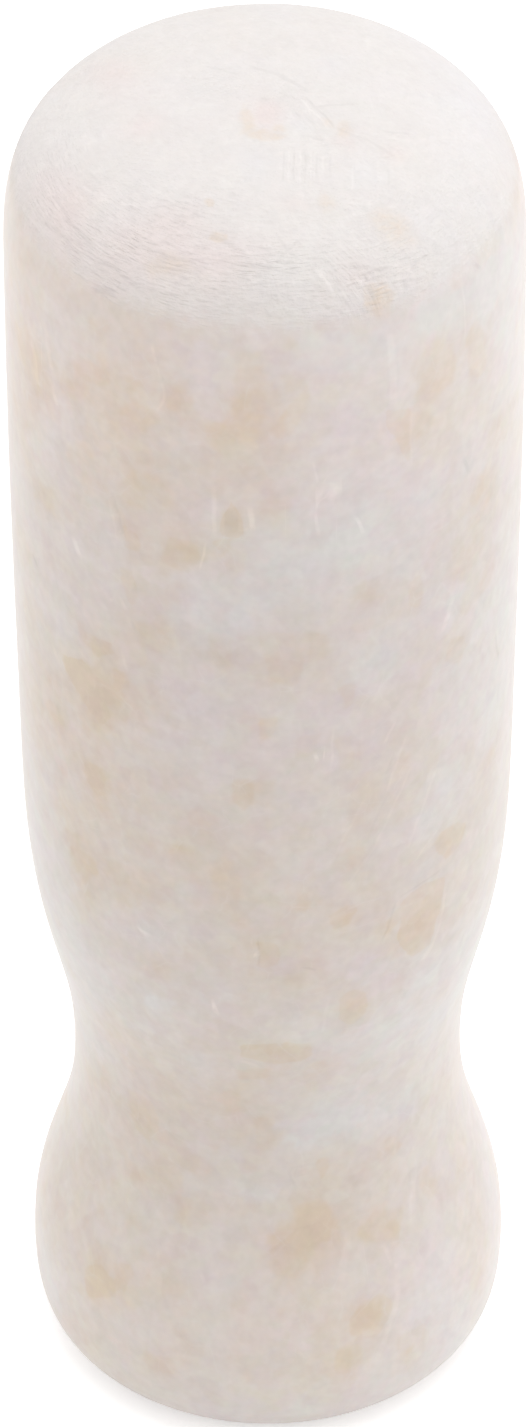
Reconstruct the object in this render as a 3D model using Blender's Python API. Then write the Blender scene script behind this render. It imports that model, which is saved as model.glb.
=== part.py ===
# Stone pestle, turned from one block and standing on its knob end
# Metres, +Z up, origin at the centre of the flat foot

import math

import bmesh
import bpy
from mathutils import Vector
from mathutils.geometry import interpolate_bezier

# Diameters, from the grinding end down to the foot
HEAD_DIAMETER = 0.0420
SHAFT_DIAMETER = 0.0406
WAIST_DIAMETER = 0.0326
KNOB_DIAMETER = 0.0400
FOOT_DIAMETER = 0.0240

# Rises between those places, stacked up from the foot
KNOB_RISE = 0.0086      # foot to the widest part of the knob
WAIST_RISE = 0.0211     # knob to the narrowest part of the waist
NECK_RISE = 0.0313      # waist to the lower end of the straight shaft
SHAFT_RISE = 0.0527     # lower end of the shaft to the widest part of the head
CROWN_RISE = 0.0150     # head to the top of the crown
GROUND_RISE = 0.0078    # head to the line where the rough grinding surface begins

# Lean of the outline where the shaft runs into the neck
SHAFT_LEAN = math.radians(1.15)

# How firmly each curve holds its direction before it turns, from 0 to 1
CROWN_FLATNESS = 0.99
HEAD_FULLNESS = 0.57
SHAFT_EASE = 0.40
NECK_FULLNESS = 0.59
WAIST_EASE_ABOVE = 0.39
WAIST_EASE_BELOW = 0.48
KNOB_EASE = 0.42
KNOB_FULLNESS = 0.73
FOOT_FLATNESS = 0.90

# Facets of the finished solid
STEPS_AROUND = 64
CROWN_STEPS = 12
SHAFT_STEPS = 6
NECK_STEPS = 9
WAIST_STEPS = 8
KNOB_STEPS = 10
MERGE_DISTANCE = 1e-6
SHARP_ANGLE = math.radians(30)

# Finishes: the polished body, and the grinding end left rough
POLISHED_COLOR = (0.644, 0.571, 0.515, 1.0)
POLISHED_ROUGHNESS = 0.28
GROUND_COLOR = (0.871, 0.831, 0.799, 1.0)
GROUND_ROUGHNESS = 0.80

POLISHED_SLOT = 0
GROUND_SLOT = 1


def clear_scene():
    for item in list(bpy.data.objects):
        bpy.data.objects.remove(item, do_unlink=True)


def stone_material(name, color, roughness):
    material = bpy.data.materials.new(name)
    material.use_nodes = True
    shader = material.node_tree.nodes["Principled BSDF"]
    shader.inputs["Base Color"].default_value = color
    shader.inputs["Roughness"].default_value = roughness
    shader.inputs["Metallic"].default_value = 0.0
    material.diffuse_color = color
    return material


def outline_point(radius, height):
    return Vector((radius, 0.0, height))


def curve(start, start_pull, end_pull, end, steps):
    """Points from start up to, and without, end on one cubic curve."""
    points = interpolate_bezier(start, start + start_pull, end - end_pull, end, steps + 1)
    return points[:-1]


def pestle_outline():
    """Outline from the rim of the foot up the side to the top of the crown."""
    knob_height = KNOB_RISE
    waist_height = knob_height + WAIST_RISE
    shaft_height = waist_height + NECK_RISE
    head_height = shaft_height + SHAFT_RISE
    length = head_height + CROWN_RISE

    foot = outline_point(FOOT_DIAMETER / 2, 0.0)
    knob = outline_point(KNOB_DIAMETER / 2, knob_height)
    waist = outline_point(WAIST_DIAMETER / 2, waist_height)
    shaft = outline_point(SHAFT_DIAMETER / 2, shaft_height)
    head = outline_point(HEAD_DIAMETER / 2, head_height)
    crown = outline_point(0.0, length)

    up = Vector((0.0, 0.0, 1.0))
    outward = Vector((1.0, 0.0, 0.0))
    along_shaft = Vector((math.sin(SHAFT_LEAN), 0.0, math.cos(SHAFT_LEAN)))
    foot_reach = (KNOB_DIAMETER - FOOT_DIAMETER) / 2

    points = curve(foot, outward * foot_reach * FOOT_FLATNESS, up * KNOB_RISE * KNOB_FULLNESS, knob, KNOB_STEPS)
    points += curve(knob, up * WAIST_RISE * KNOB_EASE, up * WAIST_RISE * WAIST_EASE_BELOW, waist, WAIST_STEPS)
    points += curve(
        waist, up * NECK_RISE * WAIST_EASE_ABOVE, along_shaft * NECK_RISE * NECK_FULLNESS, shaft, NECK_STEPS
    )
    points += curve(shaft, along_shaft * SHAFT_RISE * SHAFT_EASE, up * SHAFT_RISE * SHAFT_EASE, head, SHAFT_STEPS)
    points += curve(
        head, up * CROWN_RISE * HEAD_FULLNESS, -outward * HEAD_DIAMETER / 2 * CROWN_FLATNESS, crown, CROWN_STEPS
    )
    points.append(crown)
    return points, head_height + GROUND_RISE


def turned_mesh(name, outline, ground_height):
    """Spin the outline round Z, close the foot and mark the ground end."""
    form = bmesh.new()
    verts = [form.verts.new(point) for point in outline]
    edges = [form.edges.new(pair) for pair in zip(verts, verts[1:])]
    bmesh.ops.spin(
        form, geom=verts + edges, cent=(0, 0, 0), axis=(0, 0, 1), dvec=(0, 0, 0),
        angle=math.tau, steps=STEPS_AROUND, use_merge=True, use_duplicate=False,
    )
    bmesh.ops.remove_doubles(form, verts=form.verts, dist=MERGE_DISTANCE)
    rim = [edge for edge in form.edges if edge.is_boundary]
    bmesh.ops.contextual_create(form, geom=rim)
    bmesh.ops.recalc_face_normals(form, faces=form.faces)
    for face in form.faces:
        on_ground_end = face.calc_center_median().z > ground_height
        face.material_index = GROUND_SLOT if on_ground_end else POLISHED_SLOT
    mesh = bpy.data.meshes.new(name)
    form.to_mesh(mesh)
    form.free()
    mesh.shade_smooth()
    mesh.set_sharp_from_angle(angle=SHARP_ANGLE)
    return mesh


def make_pestle():
    outline, ground_height = pestle_outline()
    mesh = turned_mesh("pestle", outline, ground_height)
    mesh.materials.append(stone_material("polished_stone", POLISHED_COLOR, POLISHED_ROUGHNESS))
    mesh.materials.append(stone_material("ground_stone", GROUND_COLOR, GROUND_ROUGHNESS))
    pestle = bpy.data.objects.new("pestle", mesh)
    bpy.context.scene.collection.objects.link(pestle)
    return pestle


clear_scene()
make_pestle()
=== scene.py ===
import math
import random

import bmesh
import bpy
import numpy
from mathutils import Euler, Matrix, Vector, kdtree, noise
from mathutils.geometry import interpolate_bezier


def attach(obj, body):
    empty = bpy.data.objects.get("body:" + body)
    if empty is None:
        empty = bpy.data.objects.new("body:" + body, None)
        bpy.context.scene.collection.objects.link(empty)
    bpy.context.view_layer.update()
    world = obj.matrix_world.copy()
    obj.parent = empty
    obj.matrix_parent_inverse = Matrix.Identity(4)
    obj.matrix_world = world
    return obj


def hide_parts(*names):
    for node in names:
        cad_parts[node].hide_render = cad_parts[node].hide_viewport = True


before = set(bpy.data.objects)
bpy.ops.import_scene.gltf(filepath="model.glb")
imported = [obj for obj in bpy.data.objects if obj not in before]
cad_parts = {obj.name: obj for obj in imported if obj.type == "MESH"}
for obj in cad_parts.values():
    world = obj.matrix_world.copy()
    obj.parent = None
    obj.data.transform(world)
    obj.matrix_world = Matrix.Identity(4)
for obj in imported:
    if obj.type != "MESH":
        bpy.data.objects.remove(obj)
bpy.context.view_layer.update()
print("frame loaded, nodes:", sorted(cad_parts))

millimetre = 0.001


def addObject(name, data):
    made = bpy.data.objects.new(name, data)
    bpy.context.scene.collection.objects.link(made)
    return made


# Camera. It looks down on the standing pestle from in front.
shot = {
    "elevation": 40.0,          # degrees above level
    "distance": 1.0,
    "framedHeight": 0.118165,   # what the image's height spans at the aim
    "aimHeight": 0.06499,
    "aimSideways": -0.00012,
    "roll": -0.19,              # degrees
    "sensor": 36.0,             # millimetres
    "nearest": 0.1,
    "farthest": 20.0,
}


def makeCamera():
    data = bpy.data.cameras.new("camera")
    data.sensor_width = shot["sensor"]
    data.lens = shot["sensor"] * shot["distance"] / shot["framedHeight"]
    data.clip_start = shot["nearest"]
    data.clip_end = shot["farthest"]
    camera = addObject("camera", data)
    down = math.radians(90 - shot["elevation"])
    turned = Euler((down, 0, 0)).to_matrix() @ Matrix.Rotation(math.radians(shot["roll"]), 3, "Z")
    aim = Vector((shot["aimSideways"], 0, shot["aimHeight"]))
    camera.location = aim + turned @ Vector((0, 0, shot["distance"]))
    camera.rotation_euler = turned.to_euler()
    bpy.context.scene.camera = camera
    print("camera set")


# Shader maths. A Wire is one socket, so that a sum on values is written as a sum.
class Wire:
    def __init__(self, paint, socket):
        self.paint = paint
        self.socket = socket

    def math(self, operation, *values):
        return self.paint.node("ShaderNodeMath", {"operation": operation}, dict(enumerate(values)))

    def __add__(self, other):
        return self.math("ADD", self, other)

    def __radd__(self, other):
        return self.math("ADD", other, self)

    def __sub__(self, other):
        return self.math("SUBTRACT", self, other)

    def __rsub__(self, other):
        return self.math("SUBTRACT", other, self)

    def __mul__(self, other):
        return self.math("MULTIPLY", self, other)

    def __rmul__(self, other):
        return self.math("MULTIPLY", other, self)

    def over(self, other):
        return self.math("DIVIDE", self, other)

    def larger(self, other):
        return self.math("MAXIMUM", self, other)

    # 0 below low, top above high, with a soft step between
    def step(self, low, high, top=1.0):
        return self.paint.node(
            "ShaderNodeMapRange",
            {"interpolation_type": "SMOOTHSTEP"},
            {"Value": self, "From Min": low, "From Max": high, "To Min": 0.0, "To Max": top},
        )

    # Adds textures that run from 0 to 1, each centred on 0 and times its own share
    def varied(self, *shares):
        total = self
        for texture, share in shares:
            total = total + (texture - 0.5) * share
        return total


# One material and the ways to add nodes to it
class Paint:
    def __init__(self, name):
        self.material = bpy.data.materials.new(name)
        self.material.use_nodes = True
        self.tree = self.material.node_tree
        self.shader = self.tree.nodes["Principled BSDF"]

    def feed(self, socket, value):
        if isinstance(value, Wire):
            self.tree.links.new(value.socket, socket)
        else:
            socket.default_value = value

    def setStops(self, elements, stops):
        while len(elements) < len(stops):
            elements.new(1.0)
        for element, (position, color) in zip(elements, stops):
            element.position = position
            element.color = color

    def node(self, kind, settings, values, output=0):
        made = self.tree.nodes.new(kind)
        for name, setting in settings.items():
            if name == "stops":
                self.setStops(made.color_ramp.elements, setting)
            else:
                setattr(made, name, setting)
        for name, value in values.items():
            self.feed(made.inputs[name], value)
        return Wire(self, made.outputs[output])

    def vectors(self, operation, values, output=0):
        return self.node("ShaderNodeVectorMath", {"operation": operation}, values, output)

    def millimetres(self):
        place = self.node("ShaderNodeTexCoord", {}, {}, "Object")
        return self.vectors("SCALE", {0: place, "Scale": 1 / millimetre})

    def parts(self, vector):
        made = self.tree.nodes.new("ShaderNodeSeparateXYZ")
        self.feed(made.inputs[0], vector)
        return [Wire(self, socket) for socket in made.outputs]

    def joined(self, x, y, z):
        return self.node("ShaderNodeCombineXYZ", {}, {0: x, 1: y, 2: z})

    def along(self, vector, scale):
        return self.vectors("MULTIPLY", {0: vector, 1: scale})

    def plus(self, one, other):
        return self.vectors("ADD", {0: one, 1: other})

    def attribute(self, name):
        return self.parts(self.node("ShaderNodeAttribute", {"attribute_name": name}, {}, "Vector"))

    # A tone for each small rounded cell, with soft borders. Size in millimetres
    def cells(self, place, size, blending):
        values = {"Vector": place, "Scale": 1 / size, "Smoothness": blending}
        return self.node("ShaderNodeTexVoronoi", {"feature": "SMOOTH_F1"}, values, "Color")

    # Distance from the borders of such cells
    def borders(self, place, size):
        values = {"Vector": place, "Scale": 1 / size}
        return self.node("ShaderNodeTexVoronoi", {"feature": "DISTANCE_TO_EDGE"}, values, "Distance")

    # Soft clouds, with lumps about the given size in millimetres
    def clouds(self, place, size, detail=2.0, output="Fac"):
        values = {"Vector": place, "Scale": 1 / size, "Detail": detail}
        return self.node("ShaderNodeTexNoise", {}, values, output)

    def mix(self, factor, one, other, blend="MIX"):
        settings = {"data_type": "RGBA", "blend_type": blend}
        return self.node("ShaderNodeMix", settings, {0: factor, 6: one, 7: other}, 2)

    def toned(self, color, red, green, blue):
        return self.mix(1.0, color, self.joined(red, green, blue), "MULTIPLY")

    # Places pulled about by up to half the reach, so that what is laid on them has crumbled edges
    def pulled(self, place, size, reach):
        drift = self.clouds(place, size, 2.0, "Color")
        centred = self.vectors("SUBTRACT", {0: drift, 1: (0.5, 0.5, 0.5)})
        return self.plus(place, self.along(centred, (reach, reach, reach)))


# Form of the stone. The outline comes from the CAD solid.
form = {
    "stepsAround": 288,
    "sideSpacing": 0.00064,
    "crownSpacing": 0.00021,
    "inset": 0.0000005,       # keeps the spun rings just inside the CAD solid
    "groundLine": 0.1215,     # height where the rough grinding end begins
    "finerBelow": 0.002,      # how far below that line the finer spacing starts
    "rubbedBelow": 0.001,     # and the marks
    "marksFade": (-0.0006, 0.0012),   # where they start to show there, and over what height
    "footSteps": 4,
    "mergeDistance": 0.000001,
}
groundLine = form["groundLine"] / millimetre


# Radius and height of each ring of the turned solid, from the foot's rim up to the crown
def frameOutline(node):
    rings = {}
    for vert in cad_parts[node].data.vertices:
        height = round(vert.co.z, 6)
        rings[height] = max(rings.get(height, 0.0), math.hypot(vert.co.x, vert.co.y))
    return [Vector((max(0.0, rings[height] - form["inset"]), 0, height)) for height in sorted(rings)]


def roundedOutline(points):
    beforeFirst = points[0] - Vector((millimetre, 0, 0))
    afterLast = Vector((-points[-2].x, 0, points[-2].z))
    line = [beforeFirst] + points + [afterLast]
    fine = []
    for before, start, end, after in zip(line, line[1:], line[2:], line[3:]):
        length = (end - start).length
        startPull = (end - before).normalized() * length / 3
        endPull = (after - start).normalized() * length / 3
        onCrown = start.z > form["groundLine"] - form["finerBelow"]
        spacing = form["crownSpacing"] if onCrown else form["sideSpacing"]
        count = max(2, round(length / spacing) + 1)
        fine += interpolate_bezier(start, start + startPull, end - endPull, end, count)[:-1]
    fine.append(points[-1])
    return fine


outline = roundedOutline(frameOutline("pestle"))
outlineHeights = [point.z for point in outline]
outlineRadii = [point.x for point in outline]


# Radius of the stone at a height, both in millimetres
def radiusAt(height):
    return float(numpy.interp(height * millimetre, outlineHeights, outlineRadii)) / millimetre


# Marks that hand grinding left in the crown. Places are x and y in millimetres seen from above,
# and so are lengths, widths and reaches. Depths of single strokes are shares of strokeDepth.
marks = {
    "seed": 11,
    "waves": 0.00005,          # broad unevenness, how deep
    "wavesSize": 9.0,
    "wornTop": 0.00006,        # how far the middle of the crown is ground down
    "wornReach": 9.0,
    "grain": 0.000015,
    "grainSize": 0.75,
    "grainFractal": (0.8, 2.0, 3),    # roughness, step between octaves and octaves
    "strokeDepth": 0.000045,
    "strokeWidth": 0.16,
    "strokeBow": 0.02,
    "shoulderStrokes": 150,
    "shoulderBand": (12.5, 19.9),
    "shoulderSwing": 0.12,     # how far their direction strays, in radians
    "shoulderLength": (1.2, 4.5),
    "shoulderDepth": (0.4, 1.0),
    "patches": [
        # x, y, spread, direction in degrees, strokes, length
        (3.2, -8.2, 1.4, 90, 9, 3.2),
        (3.8, -2.6, 1.2, 118, 6, 3.4),
        (2, 0.8, 1.2, -32, 6, 2),
        (-3.4, 2.2, 2.2, 20, 12, 1.6),
        (9.2, -5.2, 1.6, 20, 8, 1.6),
        (8.9, -0.4, 1, 85, 5, 1.6),
        (6.6, -4.6, 1, 70, 6, 1.2),
        (7, -16.8, 1.9, 150, 14, 1.8),
        (-11.5, -8.5, 2.6, -20, 8, 2),
        (-7.5, -13, 2.2, -30, 12, 1.8),
        (12, -11, 2.4, 60, 10, 1.6),
        (-1.5, 6.5, 2.2, 75, 4, 1.8),
        (5, 9, 2.2, 30, 4, 2),
        (-9, 7, 2.2, 60, 4, 2.2),
    ],
    "patchSwing": 7,           # degrees
    "patchLength": (0.6, 1.1),
    "patchDepth": (0.5, 1.0),
    "hatchSpread": 1.3,        # how far the fine hatching of a patch reaches beyond its spread
    "hatchFull": 10,           # strokes in a patch whose hatching has its full strength
    "pits": [
        # x, y, radius, depth in millimetres
        (0.2, -1.9, 1.25, 0.1),
        (0.7, -4.6, 0.65, 0.07),
        (-13.4, -3, 0.35, 0.07),
        (-7.9, -4.9, 0.3, 0.06),
        (-6, -0.5, 0.3, 0.05),
        (4.2, -4.9, 0.4, 0.08),
        (6.3, -3.4, 0.55, 0.06),
        (11.9, -13.5, 0.35, 0.07),
        (9.6, -17.4, 0.4, 0.06),
        (-4.2, -11.8, 0.35, 0.06),
    ],
    "smallPits": 60,
    "smallPitReach": 19.5,
    "smallPitRadius": (0.18, 0.35),
    "smallPitDepth": (0.02, 0.06),
}


def groundStrokes():
    draw = random.Random(marks["seed"])
    strokes = []
    for _ in range(marks["shoulderStrokes"]):
        around = draw.uniform(-math.pi, math.pi)
        radius = draw.uniform(*marks["shoulderBand"])
        centre = Vector((radius * math.cos(around), radius * math.sin(around)))
        heading = around + math.pi / 2 + draw.gauss(0, marks["shoulderSwing"])
        length = draw.uniform(*marks["shoulderLength"])
        strokes.append((centre, heading, length, draw.uniform(*marks["shoulderDepth"])))
    for x, y, spread, direction, count, length in marks["patches"]:
        for _ in range(count):
            centre = Vector((draw.gauss(x, spread / 2), draw.gauss(y, spread / 2)))
            heading = math.radians(direction + draw.gauss(0, marks["patchSwing"]))
            drawn = length * draw.uniform(*marks["patchLength"])
            strokes.append((centre, heading, drawn, draw.uniform(*marks["patchDepth"])))
    return strokes


def crownPits():
    draw = random.Random(marks["seed"] + 1)
    pits = list(marks["pits"])
    for _ in range(marks["smallPits"]):
        around = draw.uniform(-math.pi, math.pi)
        radius = marks["smallPitReach"] * math.sqrt(draw.random())
        place = (radius * math.cos(around), radius * math.sin(around))
        pits.append((*place, draw.uniform(*marks["smallPitRadius"]), draw.uniform(*marks["smallPitDepth"])))
    return pits


# How far strokes and pits take each point of the crown below the turned surface, in metres
def groundDepths(points):
    places = numpy.array([(point.x, point.y) for point in points]) / millimetre
    depths = numpy.zeros(len(points))
    for centre, heading, length, depth in groundStrokes():
        offset = places - numpy.array(centre)
        lengthwise = offset @ numpy.array((math.cos(heading), math.sin(heading)))
        across = offset @ numpy.array((-math.sin(heading), math.cos(heading)))
        bow = marks["strokeBow"] * lengthwise ** 2 / max(length, 1.0)
        ends = numpy.clip(1 - (2 * lengthwise / length) ** 2, 0, 1)
        groove = numpy.exp(-((across - bow) / marks["strokeWidth"]) ** 2) * numpy.sqrt(ends)
        depths += groove * depth * marks["strokeDepth"]
    for x, y, radius, depth in crownPits():
        distance = numpy.hypot(places[:, 0] - x, places[:, 1] - y) / radius
        depths += depth * millimetre * numpy.exp(-distance ** 4)
    return depths


# Direction and strength of the fine hatching at each vertex of the crown
def hatchField(places):
    best = numpy.zeros(len(places["x"]))
    second = numpy.zeros(len(places["x"]))
    direction = numpy.zeros(len(places["x"]))
    for x, y, spread, heading, strokes, _ in marks["patches"]:
        away = numpy.hypot(places["x"] - x, places["y"] - y) / (spread * marks["hatchSpread"])
        strength = min(1.0, strokes / marks["hatchFull"]) * numpy.exp(-away ** 4)
        strength[places["height"] < groundLine - 1] = 0.0
        stronger = strength > best
        second = numpy.where(stronger, best, numpy.maximum(second, strength))
        best[stronger] = strength[stronger]
        direction[stronger] = math.radians(heading)
    return [numpy.cos(direction), numpy.sin(direction), best - second]


def turnedBody():
    body = bmesh.new()
    rim = outline[0].x
    footLine = [Vector((rim * step / form["footSteps"], 0, 0)) for step in range(form["footSteps"])]
    verts = [body.verts.new(point) for point in footLine + outline]
    edges = [body.edges.new(pair) for pair in zip(verts, verts[1:])]
    bmesh.ops.spin(
        body, geom=verts + edges, cent=(0, 0, 0), axis=(0, 0, 1), dvec=(0, 0, 0),
        angle=math.radians(90), steps=form["stepsAround"] // 4, use_merge=False, use_duplicate=False,
    )
    quarter = body.verts[:] + body.edges[:] + body.faces[:]
    for turn in (90, 180, 270):
        copied = bmesh.ops.duplicate(body, geom=quarter)["geom"]
        moved = [item for item in copied if isinstance(item, bmesh.types.BMVert)]
        turning = Matrix.Rotation(math.radians(turn), 3, "Z")
        bmesh.ops.rotate(body, verts=moved, cent=(0, 0, 0), matrix=turning)
    bmesh.ops.remove_doubles(body, verts=body.verts, dist=form["mergeDistance"])
    bmesh.ops.recalc_face_normals(body, faces=body.faces)
    body.normal_update()
    return body


def roughenCrown(body):
    crown = [vert for vert in body.verts if vert.co.z > form["groundLine"] - form["rubbedBelow"]]
    fadeFrom, fadeOver = form["marksFade"]
    for vert, depth in zip(crown, groundDepths([vert.co for vert in crown])):
        place = vert.co / millimetre
        waves = noise.noise(place / marks["wavesSize"])
        grain = noise.fractal(place / marks["grainSize"], *marks["grainFractal"])
        worn = math.exp(-((place.x ** 2 + place.y ** 2) / marks["wornReach"] ** 2))
        fade = min(1.0, max(0.0, (vert.co.z - form["groundLine"] - fadeFrom) / fadeOver))
        depth += waves * marks["waves"] + grain * marks["grain"] + worn * marks["wornTop"]
        vert.co -= vert.normal * depth * fade


def pestleMesh():
    body = turnedBody()
    roughenCrown(body)
    mesh = bpy.data.meshes.new("pestle_stone")
    body.to_mesh(mesh)
    body.free()
    mesh.shade_smooth()
    return mesh


# What lies in the stone. Places on it are the turn in degrees round the pestle from the front, to
# the right, and the height above the foot in millimetres. Sizes are in millimetres too.
fragments = {
    "seed": 5,
    "drift": 0.35,           # how far fragment edges wander
    "lineDrift": 0.15,       # and fine lines
    "driftSize": 1.6,
    "warmth": 0.24,          # how much warmer a fragment of strength 1 is
    "pieceSize": 2.1,        # size of the angular pieces that break up the broad parts
    "pieceShare": 0.6,       # how far the broad parts follow those pieces
    "pieceTone": 0.05,
    "pieceRadius": 20.0,     # of the stone where they are counted
    "pieceAbove": 4.0,       # how far they run past the ground line
    "clasts": 1800,          # small rounded pieces strewn over the whole stone
    "clastSize": (0.9, 3.0),
    "clastShape": (0.7, 1.5),    # how tall they are for their width
    "clastTone": 0.17,
    "clastCooler": 0.05,
    "clastEdge": 0.5,
    "clastShare": 0.45,      # how strong they are in front, where the listed fragments lie
    "placedTo": 84.0,        # to this turn either way
    "backPieces": 80,        # larger fragments where none is listed
    "backTurn": (90, 270),
    "backHeight": (4, groundLine - 3),
    "backSize": (1.8, 5.0),
    "backShape": (0.6, 1.4),
    "backLean": (-60, 60),
    "backStrength": (0.4, 1.2),
    "backSoftness": (0.1, 0.4),
    "chipSides": (5, 6, 6, 7, 8),
    "chipSwing": (-0.25, 0.25),
    "chipReach": (0.95, 1.18),
    "overlap": 1.5,          # how far side and crown patterns run past the ground line
    "lineTaper": 0.5,
    "patchFalloff": 2.4,
    "farAway": 99.0,
    "outsideDepth": -3.0,    # where no fragment or line is near
    "outsideSoftness": 0.3,
    "outsideLine": 9.0,
}

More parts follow.
